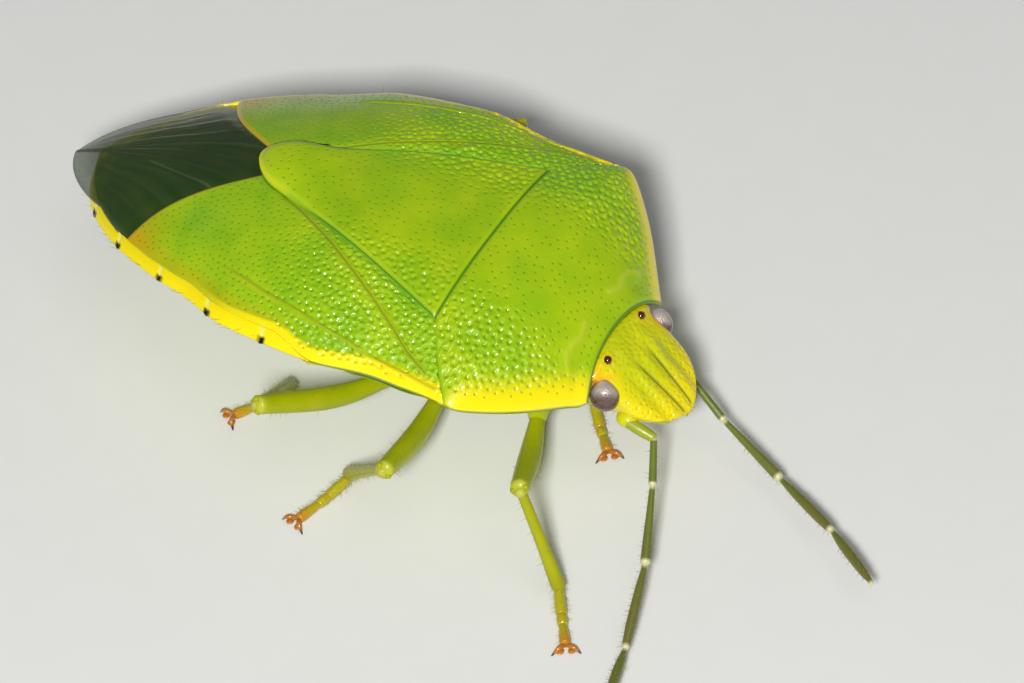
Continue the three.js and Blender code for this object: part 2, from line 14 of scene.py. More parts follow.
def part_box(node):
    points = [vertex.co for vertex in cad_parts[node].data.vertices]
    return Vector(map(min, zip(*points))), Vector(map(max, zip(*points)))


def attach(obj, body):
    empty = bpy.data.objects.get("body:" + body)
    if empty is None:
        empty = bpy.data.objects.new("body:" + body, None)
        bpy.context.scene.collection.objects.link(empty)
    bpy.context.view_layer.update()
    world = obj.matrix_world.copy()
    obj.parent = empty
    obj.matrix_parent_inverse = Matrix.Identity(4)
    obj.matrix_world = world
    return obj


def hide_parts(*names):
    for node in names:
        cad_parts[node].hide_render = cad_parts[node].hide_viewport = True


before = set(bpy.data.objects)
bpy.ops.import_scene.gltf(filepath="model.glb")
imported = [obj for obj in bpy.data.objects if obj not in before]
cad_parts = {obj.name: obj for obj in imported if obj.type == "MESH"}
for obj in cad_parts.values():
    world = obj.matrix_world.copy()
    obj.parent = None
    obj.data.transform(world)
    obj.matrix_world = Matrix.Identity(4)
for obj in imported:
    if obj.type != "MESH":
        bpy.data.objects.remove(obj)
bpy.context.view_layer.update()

MM = 0.001
TURN = 2 * math.pi

# Outline of the body seen from above
NECK_Y = -3.37
NECK_HALF = 1.82
SHOULDER_Y = -1.33
SHOULDER_HALF = 4.36
MARGIN_BULGE = 0.2
BODY_HALF = 4.2
WIDEST_Y = 2.0
BODY_END_Y = 10.45
OUTLINE_POWER = 1 / 1.9
CORNER_ROUND = 0.07
FLARE = 0.24
FLARE_RISES_Y = (0.6, 2.4)
FLARE_ENDS_Y = (6.2, 4.6)
TUCK = 0.12

# Heights of the side margin, the back's midline and the keel
MARGIN_Z = 4.52
MARGIN_FRONT_SLOPE = 0.545
MARGIN_REAR_DROOP = 0.0145
BACK_Z = 5.66
BACK_FRONT_CURVE = 0.155
BACK_REAR_CURVE = 0.013
REAR_SLOPE_Y = 5.2
REAR_SLOPE_Z = 5.3
REAR_SLOPE = 0.22
REAR_CURVE = 0.0245
KEEL_Z = 1.6
KEEL_Y = 3.0
KEEL_FRONT_CURVE = 0.02
KEEL_REAR_CURVE = 0.036
BELLY_FULLNESS = 1.4
EDGE_DEPTH = 0.08

# Shields and wings
COLLAR_Y = -3.12
HUMERUS_Y = -1.04
BASE_HALF = 2.66
SCUTELLUM_TAPER = 0.372
TONGUE_Y = 4.44
TONGUE_TAPER = 0.3
SCUTELLUM_END_Y = 6.02
TONGUE_LIFT = 0.09
CORIUM_INNER_END_Y = 5.9
CORIUM_APEX_Y = 8.2
SUTURE_BOW = 0.42
RIM = 0.26
RIM_APPEARS_Y = (2.2, 3.5)
RIM_RISES_Y = (1.2, 2.2)
MEMBRANE_END_Y = 11.12
MEMBRANE_HALF = 2.3
MEMBRANE_FROM_Y = 7.0
MEMBRANE_POWER = 0.65
SHELL = 0.1
SCUTELLUM_THICKNESS = 0.24
SEGMENT_ENDS_Y = (3.56, 5.19, 6.82, 8.35, 9.52)
TRUNK_FRONT_Y = -2.95
CLAVAL_SUTURE = [(3.85, -0.4), (3.59, 0.2), (3.21, 0.79), (2.54, 1.92), (1.84, 3.12), (1.15, 4.35),
                 (0.85, 4.95)]
RADIAL_VEIN = [(4.08, -0.8), (3.98, 0.5), (3.9, 1.4), (3.8, 2.28), (3.45, 3.96), (3.15, 4.9), (2.95, 5.6)]
CALLUS = [(0.55, -2.68), (0.9, -2.76), (1.2, -2.7), (1.48, -2.71), (1.67, -2.81)]
FILM = 0.035
FILM_LAP = 0.5
FILM_OVER_RIM = 0.05
FILM_LEAVES_RIM_Y = 9.6
FILM_VEIN = [(-0.97, 6.85), (-0.73, 7.79), (-0.38, 8.84)]
VEINS = 6

# Head
HEAD_REAR_Y = -2.75
HEAD_TIP_Y = -5.06
HEAD_TIP_Z = 2.32
HEAD_HALF = 1.22
HEAD_TOP_Z = 4.02
HEAD_FLOOR_Z = 1.92
EYE = np.array([1.3, -3.62, 3.3])
EYE_RADII = (0.31, 0.36, 0.41)
EYE_SEAT = np.array([1.27, -3.53, 3.23])
BROW = np.array([1.02, -3.48, 3.1])
BROW_RADII = (0.3, 0.46, 0.36)
OCELLUS = np.array([0.79, -3.36, 3.85])
OCELLUS_R = 0.105

# Joints of each leg: hip, knee, ankle and the base of the claws
LEGS = {
    "front_right": [(-1.2, -1.75, 1.55), (-4.35, -3.05, 2.85), (-4.57, -4.11, 0.4), (-5.83, -4.97, 0.2)],
    "middle_right": [(-1.5, 0.6, 1.48), (-5.28, -0.11, 2.86), (-3.77, 1.74, 0.4), (-5.3, 2.2, 0.2)],
    "hind_right": [(-1.5, 1.8, 1.48), (-5.35, 3.09, 3.46), (-1.99, 4.37, 0.4), (-3.17, 5.14, 0.2)],
    "front_left": [(1.2, -1.65, 1.55), (3.4, -2.1, 2.6), (0.75, -2.15, 0.4), (-0.17, -2.98, 0.2)],
    "middle_left": [(1.5, 0.6, 1.48), (4.98, 2.12, 3.85), (5.09, 0.88, 0.4), (6.6, 1.3, 0.2)],
    "hind_left": [(1.5, 1.8, 1.48), (4.9, 3.4, 3.0), (4.9, 7.1, 0.4), (5.66, 8.42, 0.2)],
}
FEMUR_SAG = 0.25
COXA_RADII = (0.42, 0.4, 0.36, 0.28, 0.22)
FEMUR_RADII = (0.17, 0.2, 0.235, 0.255, 0.265, 0.26, 0.25, 0.235, 0.215)
TIBIA_RADII = (0.125, 0.12, 0.125, 0.13, 0.135, 0.14, 0.15, 0.165, 0.175)
TARSUS_RADII = ((0.12, 0.12, 0.125, 0.135, 0.13), (0.09, 0.12, 0.13, 0.12),
                (0.085, 0.105, 0.12, 0.13, 0.125))
CLAW_RADII = (0.055, 0.055, 0.042, 0.014)
SOLE_Z = 0.13
FLOOR_GAP = 0.005
HAIRLESS_Z = (0.12, 0.2)

# Joints of each feeler from its base: five segments
FEELERS = {
    "right": [(-1.2, -4.12, 2.55), (-1.18, -4.74, 2.36), (-2.09, -5.19, 1.88), (-3.66, -5.84, 1.13),
              (-5.62, -6.38, 0.5), (-7.53, -6.86, 0.58)],
    "left": [(1.2, -4.05, 2.5), (1.45, -4.05, 1.92), (1.02, -5.36, 1.2), (0.37, -7.13, 0.77),
             (-0.61, -8.96, 0.88), (-1.76, -10.58, 1.03)],
}
FEELER_NAMES = ("scape", "second", "third", "fourth", "fifth")
FEELER_RADII = ((0.125, 0.14, 0.14, 0.12), (0.08, 0.085, 0.09, 0.095), (0.065, 0.085, 0.105, 0.12),
                (0.055, 0.095, 0.11, 0.115, 0.09), (0.055, 0.1, 0.115, 0.11, 0.095, 0.045))
BEAK_LINE = [(0, -4.4, 1.72), (0, -3, 1.5), (0, -1, 1.4), (0, 0.2, 1.3)]

# Most pits and hair roots to a square metre. On the OFBake map of the hairs, the width of each hair's
# patch and of each limb segment's island.
PIT_DENSITY = 2.5e8
HAIR_DENSITY = 6e8
PATCH = 0.003
ISLAND_WIDTH = 0.19

# The photo's viewing angle: direction back to the camera, roll, distance, the point turned about
# and how far across and up from it the camera aims
VIEW_BACK = np.array([-0.6020, -0.3693, 0.7080])
VIEW_ROLL = math.radians(-2.63)
VIEW_DISTANCE = 170.0
VIEW_PIVOT = np.array([0, 3.0, 3.7])
VIEW_AIM = (3.035, -2.108)
PIXELS_PER_MM = 43.78
PICTURE_WIDTH = 1024
SENSOR = 36.0

# Studio: place, width and watts of each lamp, strength of the room's light, half the floor's width
LAMPS = {"key": ((-150, -68, 154), 26, 0.53), "overhead": ((-60, -80, 230), 150, 0.07)}
ROOM_LIGHT = 0.16
FLOOR_REACH = 0.4

# The bug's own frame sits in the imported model's frame where its left eye says
eye_low, eye_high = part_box("eye_left")
SHIFT = np.array((eye_low + eye_high) / 2) / MM - EYE


def lerp(a, b, t):
    return a + (b - a) * t


def ramp(a, b, value):
    """A smooth step from 0 at a to 1 at b."""
    t = np.clip((value - a) / (b - a), 0, 1)
    return t * t * (3 - 2 * t)


def soft_min(a, b, rounding):
    return -rounding * np.logaddexp(-a / rounding, -b / rounding)


def bell(distance, width):
    """A smooth bump, 1 at no distance and near 0 past twice the width."""
    return np.exp(-(distance / width) ** 2)


def half_width(y):
    t = (y - NECK_Y) / (SHOULDER_Y - NECK_Y)
    neck_line = lerp(NECK_HALF, SHOULDER_HALF, t) + MARGIN_BULGE * np.sin(math.pi * np.clip(t, 0, 1))
    rearward = np.clip((y - WIDEST_Y) / (BODY_END_Y - WIDEST_Y), 0, 1)
    body = BODY_HALF * (1 - rearward**2) ** OUTLINE_POWER
    flare = FLARE * ramp(*FLARE_RISES_Y, y) * ramp(*FLARE_ENDS_Y, y)
    body += flare - TUCK * ramp(0.3, -0.8, y)
    neck_line -= TUCK * ramp(-0.3, 0.3, t)
    shoulder = body + (SHOULDER_HALF - BODY_HALF) * ramp(0.5, SHOULDER_Y, y)
    return soft_min(neck_line, shoulder, CORNER_ROUND)


def margin_height(y):
    front = MARGIN_Z + MARGIN_FRONT_SLOPE * (y + 1.2)
    rear = MARGIN_Z - MARGIN_REAR_DROOP * np.maximum(y - 1, 0) ** 2
    return soft_min(front, rear, CORNER_ROUND)


def back_height(y):
    shield = BACK_Z - BACK_REAR_CURVE * np.maximum(y - 2, 0) ** 2
    behind = y - REAR_SLOPE_Y
    slope = REAR_SLOPE_Z - REAR_SLOPE * behind - REAR_CURVE * np.maximum(behind, 0) ** 2
    return np.where(y < 0, BACK_Z - BACK_FRONT_CURVE * y * y, soft_min(shield, slope, 0.1))


def crowned(across, y):
    """Height of the back where across runs from 0 on the midline to 1 at the margin."""
    power = lerp(2.5, 2.0, ramp(2, 8, y))
    fullness = lerp(0.8, 1.0, ramp(2, 8, y))
    crown = (1 - np.clip(across, 0, 1) ** power) ** fullness
    margin = margin_height(y)
    return lerp(margin, np.maximum(back_height(y), margin), crown)


def dorsal(x, y):
    return crowned(np.abs(x) / np.maximum(half_width(y), 0.01), y)


def ventral(across, y):
    bend = np.where(y < KEEL_Y, KEEL_FRONT_CURVE, KEEL_REAR_CURVE)
    keel = KEEL_Z + bend * (y - KEEL_Y) ** 2
    return lerp(margin_height(y) - EDGE_DEPTH, keel, (1 - across * across) ** BELLY_FULLNESS)


def scutellum_half(y):
    side = BASE_HALF - SCUTELLUM_TAPER * np.minimum(y, TONGUE_Y)
    tongue = side - TONGUE_TAPER * np.maximum(y - TONGUE_Y, 0)
    to_end = np.clip((SCUTELLUM_END_Y - y) / 0.75, 0, 1)
    return tongue * np.sqrt(1 - (1 - to_end) ** 2)


def membrane_half(y):
    t = np.clip((y - MEMBRANE_FROM_Y) / (MEMBRANE_END_Y - MEMBRANE_FROM_Y), 0, 1)
    return MEMBRANE_HALF * (1 - t * t) ** MEMBRANE_POWER


def rim_room(y):
    """Width of the abdomen's free edge beside the wing."""
    return RIM * ramp(*RIM_APPEARS_Y, y)


def distance_to(line, x, y):
    """Distance in plan from each point to a line of corner points."""
    nearest = np.full(np.shape(x), 1e9)
    for (ax, ay), (bx, by) in zip(line[:-1], line[1:]):
        length2 = max((bx - ax) ** 2 + (by - ay) ** 2, 1e-12)
        t = np.clip(((x - ax) * (bx - ax) + (y - ay) * (by - ay)) / length2, 0, 1)
        nearest = np.minimum(nearest, np.hypot(x - lerp(ax, bx, t), y - lerp(ay, by, t)))
    return nearest


# Colours and material nodes

def paint(hex_colour):
    """An sRGB hex colour as linear RGBA."""
    parts = [int(hex_colour[i:i + 2], 16) / 255 for i in (1, 3, 5)]
    return [c / 12.92 if c <= 0.04045 else ((c + 0.055) / 1.055) ** 2.4 for c in parts] + [1]


def add_node(tree, kind, inputs=None, **settings):
    """Adds a node, sets its properties, and gives inputs their values or links."""
    made = tree.nodes.new(kind)
    for key, value in settings.items():
        setattr(made, key, value)
    for key, value in (inputs or {}).items():
        if isinstance(value, bpy.types.NodeSocket):
            tree.links.new(value, made.inputs[key])
        else:
            made.inputs[key].default_value = value
    return made


def finish_of(name, base, second, layers=(), roughness=(0.28, 0.4), grain=9.0, relief=0.006, **shader):
    """A cuticle: two mottled base colours, then a colour for each named attribute over them.
    grain is how many bumps there are to a millimetre, and relief their height in millimetres."""
    material = bpy.data.materials.new(name)
    material.use_nodes = True
    tree = material.node_tree
    tree.nodes.clear()
    add = partial(add_node, tree)
    place = add("ShaderNodeTexCoord").outputs["Object"]
    millimetres = add("ShaderNodeMapping", {"Vector": place, "Scale": (1 / MM,) * 3}).outputs["Vector"]
    mottle = add("ShaderNodeTexNoise", {"Vector": millimetres, "Scale": 0.9, "Detail": 4.0})
    spread = add("ShaderNodeMapRange", {"Value": mottle.outputs["Fac"], "From Min": 0.35,
                                        "From Max": 0.65})
    colour = add("ShaderNodeMix", {0: spread.outputs["Result"], 6: paint(base), 7: paint(second)},
                 data_type="RGBA").outputs[2]
    for attribute, tint, strength in layers:
        amount = add("ShaderNodeAttribute", attribute_name=attribute).outputs["Fac"]
        share = add("ShaderNodeMath", {0: amount, 1: strength}, operation="MULTIPLY", use_clamp=True)
        colour = add("ShaderNodeMix", {0: share.outputs["Value"], 6: colour, 7: paint(tint)},
                     data_type="RGBA").outputs[2]
    bumps = add("ShaderNodeTexNoise", {"Vector": millimetres, "Scale": grain,
                                       "Detail": 3.0}).outputs["Fac"]
    sheen = add("ShaderNodeMapRange", {"Value": bumps, "To Min": roughness[0], "To Max": roughness[1]})
    bump = add("ShaderNodeBump", {"Height": bumps, "Strength": 1.0, "Distance": relief * MM})
    surface = add("ShaderNodeBsdfPrincipled", {
        "Base Color": colour, "Roughness": sheen.outputs["Result"], "Normal": bump.outputs["Normal"],
        "IOR": 1.56, **{key.replace("_", " "): value for key, value in shader.items()}})
    add("ShaderNodeOutputMaterial", {"Surface": surface.outputs["BSDF"]})
    return material


# Cuticle is layered chitin, tanned hard from the outside in under a film of wax. Its colour lies a
# little deep, light spreads some way inside it, and the wax gives a clear, wet-looking highlight.
WAXY = {"Coat_Weight": 0.6, "Coat_Roughness": 0.1, "Specular_IOR_Level": 0.3, "Subsurface_Weight": 0.15,
        "Subsurface_Radius": (1.0, 1.0, 0.35), "Subsurface_Scale": 0.25 * MM}

# Pronotum and scutellum: thick plates grown over a bed of pits and tanned least at the margins.
# Dark pits on a bright ground break up the highlight, and the edges are clear yellow. Teal is their own
# tint along the seams and edges; the teal over the far (left) side of both shields is painted shade.
SHIELD_CUTICLE = finish_of(
    "pitted_green_shield_cuticle", "#8FB800", "#A6C202",
    [("teal", "#2E9A30", 0.5), ("pale", "#CCD040", 0.5), ("margin", "#F6E000", 1.0),
     ("pit", "#4A5E04", 0.8), ("seam", "#2A6A08", 0.85)], **WAXY)

# Corium: the same cuticle laid down thin over the veins of a wing. It looks leathery, with finer
# pits, paler smooth veins and an ochre hem where the clear film begins. A near-black strip on the
# far (left) wing, beside the scutellum, is painted shadow in the gap there.
CORIUM_CUTICLE = finish_of(
    "pitted_leathery_wing_cuticle", "#84B404", "#A0C208",
    [("teal", "#38A03A", 0.5), ("ochre", "#C8A400", 0.85), ("margin", "#F6E000", 1.0),
     ("pit", "#3E5C08", 0.8), ("vein", "#A0A010", 0.75), ("seam", "#2A6A08", 0.85),
     ("slit", "#060804", 1.0)], **WAXY)

# Thorax and abdomen: smooth rings of softer cuticle, pale from what lies under them. The free edge is
# vivid yellow with black corner spots, and the back is deep green where the wings shade it.
BODY_CUTICLE = finish_of(
    "smooth_belly_cuticle", "#A9BE3C", "#B9C850",
    [("under", "#1E5A14", 0.95), ("rim", "#F4DF00", 1.0), ("suture", "#E6E88C", 0.9),
     ("spot", "#120C08", 1.0)], grain=5.0, **WAXY)

# Head: a thin hard capsule that puckered as it set, so its highlights break into fine wrinkles.
# It turns yellow towards the front and orange round the eye sockets.
HEAD_CUTICLE = finish_of(
    "wrinkled_head_cuticle", "#B4C004", "#CBCC06",
    [("front", "#E8D400", 0.85), ("socket", "#F0A808", 0.9), ("pit", "#7C8A04", 0.5),
     ("groove", "#55600A", 0.85)], grain=7.0, relief=0.01, **WAXY)

# Legs: smooth tubes with little wax on them, for broad soft highlights on olive
LEG_CUTICLE = finish_of(
    "waxy_olive_leg_cuticle", "#9EAA04", "#AEB20C",
    [("joint", "#C8BE60", 0.8), ("tip", "#8A7E10", 0.7)],
    **{**WAXY, "Coat_Weight": 0.12, "Specular_IOR_Level": 0.12})

# Feet: small waxy segments, tanned more towards the claws, so olive turns to orange
FOOT_CUTICLE = finish_of(
    "waxy_orange_foot_cuticle", "#A8A810", "#B0A014", [("tip", "#C07018", 0.95)], **WAXY)

# Claws: solid cuticle tanned right through, orange to black at the points with a tight highlight
CLAW_HORN = finish_of(
    "dark_claw_horn", "#A8641C", "#B87420", [("tip", "#140A06", 1.0)], roughness=(0.18, 0.28),
    Coat_Weight=0.4, Coat_Roughness=0.1)

# Feelers: dry cuticle set with tiny sense pegs, dull all over, browner outwards and pale at the joints
FEELER_CUTICLE = finish_of(
    "dull_feeler_cuticle", "#587010", "#66781A",
    [("tip", "#665A2A", 0.9), ("joint", "#D6D0A0", 0.8), ("base", "#96A00A", 0.9)],
    roughness=(0.34, 0.5), Coat_Weight=0.2, Coat_Roughness=0.25)

# Beak: a waxy four-part sheath, green with a tip tanned dark for piercing
BEAK_CUTICLE = finish_of(
    "beak_cuticle", "#9AA82A", "#A8B03A", [("tip", "#2A1E0C", 1.0)], **WAXY)

# Ocelli: one thick clear lens each over red pigment, a wet dark bead with a point of light
OCELLUS_GLASS = finish_of(
    "clear_ocellus_lens", "#3A0E08", "#4A160C", roughness=(0.05, 0.1), relief=0.0,
    Coat_Weight=1.0, Coat_Roughness=0.03)

# Eyes: hundreds of clear lenses packed over pigment. They give a fine grained grey sheen, with a dark
# spot where the view runs straight down into them and a brown rim.
EYE_LENSES = finish_of(
    "fine_lensed_eye", "#D4C8C0", "#B8AAA4",
    [("pupil", "#3A2824", 0.9), ("edge", "#4E2418", 0.95)], roughness=(0.22, 0.34), grain=24.0,
    relief=0.016, Metallic=0.3, Coat_Weight=0.8, Coat_Roughness=0.12)

# Hairs: hollow chitin with hardly any pigment, pale and half matt against the green
HAIR_CHITIN = finish_of(
    "pale_hair_chitin", "#B4A860", "#9A8E48", roughness=(0.35, 0.45), relief=0.0)

# Feeler bristles: the same chitin, shorter and a little darker
BRISTLE_CHITIN = finish_of(
    "olive_bristle_chitin", "#A8A060", "#8A8440", roughness=(0.35, 0.45), relief=0.0)

# Studio floor: matt white paper, pressed without a coating, so that it throws soft light back
STUDIO_PAPER = finish_of(
    "matt_studio_paper", "#DFDFDB", "#E0E0DC", roughness=(0.85, 0.95), grain=0.8, relief=0.0)

# Wing film: two skins of cuticle dried together, thin enough to show the abdomen through a smoky
# green. It is glossy, and denser and paler along its folds and veins. Its outer edge is painted pale
# as a sheen, and a pale streak runs along FILM_VEIN on the right film.
MEMBRANE_FILM = finish_of(
    "clear_wing_film", "#30480C", "#22400C", [("fold", "#98A078", 0.45)], roughness=(0.14, 0.24),
    grain=3.0, relief=0.006, Coat_Weight=0.7, Coat_Roughness=0.08)


def thin_film():
    """Lets the wing film show what lies under it, least along its folds and its painted pale edge."""
    tree = MEMBRANE_FILM.node_tree
    surface = next(node for node in tree.nodes if node.type == "BSDF_PRINCIPLED")
    fold = add_node(tree, "ShaderNodeAttribute", attribute_name="fold").outputs["Fac"]
    density = add_node(tree, "ShaderNodeMapRange", {"Value": fold, "To Min": 0.5, "To Max": 0.75})
    tree.links.new(density.outputs["Result"], surface.inputs["Alpha"])


thin_film()

# Meshes

VECTORS = ("lie", "root_place")


class Form:
    """Points, faces and point attributes that grow piece by piece, in millimetres."""

    def __init__(self):
        self.points = []
        self.faces = []
        self.values = {}
        self.count = 0

    def add(self, points, faces, **values):
        """Adds a piece. An attribute that only some pieces have is 0 on the others."""
        points = np.asarray(points, float).reshape(-1, 3)
        self.faces.extend([tuple(int(i) + self.count for i in face) for face in faces])
        self.points.append(points)
        for name in {**self.values, **values}:
            width = (3,) if name in VECTORS else ()
            runs = self.values.setdefault(name, [np.zeros((self.count, *width))])
            runs.append(np.broadcast_to(values.get(name, 0), (len(points), *width)))
        self.count += len(points)

    def make(self, name, material):
        mesh = bpy.data.meshes.new(name)
        points = (np.concatenate(self.points) + SHIFT) * MM
        mesh.from_pydata(points.tolist(), [], self.faces)
        for attribute, runs in self.values.items():
            kind, field = ("FLOAT_VECTOR", "vector") if attribute in VECTORS else ("FLOAT", "value")
            layer = mesh.attributes.new(attribute, kind, "POINT")
            layer.data.foreach_set(field, np.concatenate(runs).astype(float).ravel())
        mesh.materials.append(material)
        piece = bpy.data.objects.new(name, mesh)
        bpy.context.scene.collection.objects.link(piece)
        tidy(piece)
        return piece


def tidy(piece):
    """Merges doubled points, turns the faces out and shades them smooth."""
    shell = bmesh.new()
    shell.from_mesh(piece.data)
    bmesh.ops.remove_doubles(shell, verts=shell.verts, dist=0.00002 * MM)
    bmesh.ops.recalc_face_normals(shell, faces=shell.faces)
    shell.to_mesh(piece.data)
    shell.free()
    piece.data.shade_smooth()


def grid_faces(rows, columns, start=0, wrap=False):
    """Quads of a grid of points, row by row. A wrapped grid joins its last column to its first."""
    width = columns if wrap else columns + 1
    faces = []
    for i in range(rows):
        for j in range(columns):
            a = start + i * width + j
            b = start + i * width + (j + 1) % width
            faces.append((a, b, b + width, a + width))
    return faces


def border(rows, columns, start=0):
    """The points round the edge of an unwrapped grid, in order."""
    width = columns + 1
    loop = [start + j for j in range(columns)]
    loop += [start + i * width + columns for i in range(rows)]
    loop += [start + rows * width + j for j in range(columns, 0, -1)]
    return loop + [start + i * width for i in range(rows, 0, -1)]


def plate(form, place, height, rows, columns, marks, thickness=SHELL, step=10):
    """A closed plate: a fine top sheet, and an underside of one point for every step."""
    v, u = np.meshgrid(np.linspace(0, 1, columns + 1), np.linspace(0, 1, rows + 1))
    x, y = place(u, v)
    top = np.stack([x, y, height(x, y)], -1)
    low = top[::step, ::step].copy()
    low[..., 2] -= thickness
    fine = border(rows, columns)
    coarse = border(rows // step, columns // step, x.size)
    faces = grid_faces(rows, columns) + grid_faces(rows // step, columns // step, x.size)
    middle = step // 2
    for k, a in enumerate(coarse):
        b = coarse[(k + 1) % len(coarse)]
        run = [fine[(k * step + j) % len(fine)] for j in range(step + 1)]
        faces += [(run[j], run[j + 1], a if j < middle else b) for j in range(step)]
        faces.append((run[middle], b, a))
    values = {name: np.concatenate([np.ravel(mark), np.zeros(low.size // 3)])
              for name, mark in marks(x, y).items()}
    form.add(np.concatenate([top.reshape(-1, 3), low.reshape(-1, 3)]), faces, **values)


def sweep(line, rings=24):
    """Even stations on a smooth curve through a few points, with their directions."""
    line = np.asarray(line, float)
    if len(line) == 2:
        path = lerp(line[0], line[1], np.linspace(0, 1, rings)[:, None])
    else:
        ends = np.vstack([2 * line[0] - line[1], line, 2 * line[-1] - line[-2]])
        path = []
        for a, b, c, d in zip(ends[:-3], ends[1:-2], ends[2:-1], ends[3:]):
            t = np.linspace(0, 1, 24, endpoint=False)[:, None]
            path.append(0.5 * (2 * b + (c - a) * t + (2 * a - 5 * b + 4 * c - d) * t * t
                               + (3 * b - a - 3 * c + d) * t**3))
        path = np.vstack(path + [line[-1:]])
        walked = np.concatenate([[0], np.cumsum(np.linalg.norm(np.diff(path, axis=0), axis=1))])
        even = np.linspace(0, walked[-1], rings)
        path = np.stack([np.interp(even, walked, path[:, k]) for k in range(3)], 1)
    ways = np.gradient(path, axis=0)
    return path, ways / np.linalg.norm(ways, axis=1)[:, None]


def limb(form, line, radii, sides=28, rings=24, flat=1.0, cap=0.8, island=0.0, hairy=0.0, **marks):
    """A closed round limb along a smooth line, with domed ends of cap times their radius.
    radii are spread evenly along it, flat is its height over its width, island sets its place on
    the map of hair roots, and hairy and marks are values or functions of the share along it."""
    path, ways = sweep(line, rings)
    length = np.linalg.norm(np.diff(path, axis=0), axis=1).sum()
    share = np.linspace(0, 1, rings)
    radius = np.interp(share, np.linspace(0, 1, len(radii)), radii)
    dome = np.sin(np.linspace(0, math.pi / 2, 6))[:-1]
    starts = [(path[0] - ways[0] * radius[0] * math.sqrt(1 - d * d) * cap, ways[0], radius[0] * d, 0)
              for d in dome]
    ends = [(path[-1] + ways[-1] * radius[-1] * math.sqrt(1 - d * d) * cap, ways[-1],
             radius[-1] * d, 1) for d in dome[::-1]]
    stations = starts + list(zip(path, ways, radius, share)) + ends
    angle = np.linspace(0, TURN, sides, endpoint=False)
    points, along, lie, place = [], [], [], []
    for centre, way, r, t in stations:
        side = np.cross((0, 0, 1), way)
        side /= max(np.linalg.norm(side), 1e-6)
        up = np.cross(way, side)
        ring = centre + r * (np.outer(np.cos(angle), side) + flat * np.outer(np.sin(angle), up))
        ring[:, 2] = np.maximum(ring[:, 2], FLOOR_GAP)
        points.append(ring)
        along.append(np.full(sides, t))
        lie.append(np.tile(way, (sides, 1)))
        place.append(np.stack([angle / TURN, np.full(sides, t * length / 10), np.zeros(sides)], 1))
    along = np.concatenate(along)
    points = np.concatenate(points)
    marks["hairy"] = hairy
    values = {name: mark(along) if callable(mark) else mark for name, mark in marks.items()}
    values["hairy"] = values["hairy"] * ramp(*HAIRLESS_Z, points[:, 2])
    faces = grid_faces(len(stations) - 1, sides, wrap=True)
    form.add(points, faces, lie=np.concatenate(lie),
             root_place=np.concatenate(place) * ISLAND_WIDTH + np.array([island, 0, 0]), **values)


def ball(form, centre, radii, around=32, high=20, apex=None, **marks):
    """A closed ellipsoid, drawn out to a blunt point towards an apex if one is given."""
    polar, turn = np.meshgrid(np.linspace(0, math.pi, high + 1),
                              np.linspace(0, TURN, around, endpoint=False), indexing="ij")
    unit = np.stack([np.sin(polar) * np.cos(turn), np.sin(polar) * np.sin(turn), np.cos(polar)], -1)
    drawn = unit
    if apex is not None:
        toward = np.clip(unit @ apex, 0, 1)[..., None]
        aside = unit - (unit @ apex)[..., None] * apex
        drawn = unit - 0.4 * toward**2 * aside + 0.12 * toward**3 * apex
    points = (drawn * np.asarray(radii) + np.asarray(centre)).reshape(-1, 3)
    values = {name: mark(unit.reshape(-1, 3)) if callable(mark) else mark
              for name, mark in marks.items()}
    form.add(points, grid_faces(high, around, wrap=True), **values)


# Geometry Nodes

def node_tree(name, inputs):
    """A geometry tree with named inputs after its geometry, and its group input's sockets."""
    tree = bpy.data.node_groups.new(name, "GeometryNodeTree")
    for label, kind in (("Geometry", "Geometry"), *inputs, ("Material", "Material")):
        tree.interface.new_socket(label, in_out="INPUT", socket_type="NodeSocket" + kind)
    tree.interface.new_socket("Geometry", in_out="OUTPUT", socket_type="NodeSocketGeometry")
    return tree, add_node(tree, "NodeGroupInput").outputs


def close_tree(tree, geometry, material):
    """Ends a tree in real geometry with its material set."""
    real = add_node(tree, "GeometryNodeRealizeInstances", {"Geometry": geometry})
    dressed = add_node(tree, "GeometryNodeSetMaterial", {"Geometry": real.outputs[0],
                                                         "Material": material})
    add_node(tree, "NodeGroupOutput", {0: dressed.outputs[0]})


def grow(piece, tree, **values):
    """Runs a tree on a piece with its inputs set by identifier, and keeps what it makes."""
    modifier = piece.modifiers.new(tree.name, "NODES")
    modifier.node_group = tree
    for item in tree.interface.items_tree:
        key = item.name.replace(" ", "_")
        if item.in_out == "INPUT" and key in values:
            modifier[item.identifier] = values[key]
    mesh = bpy.data.meshes.new_from_object(piece.evaluated_get(bpy.context.evaluated_depsgraph_get()))
    piece.modifiers.clear()
    piece.data = mesh


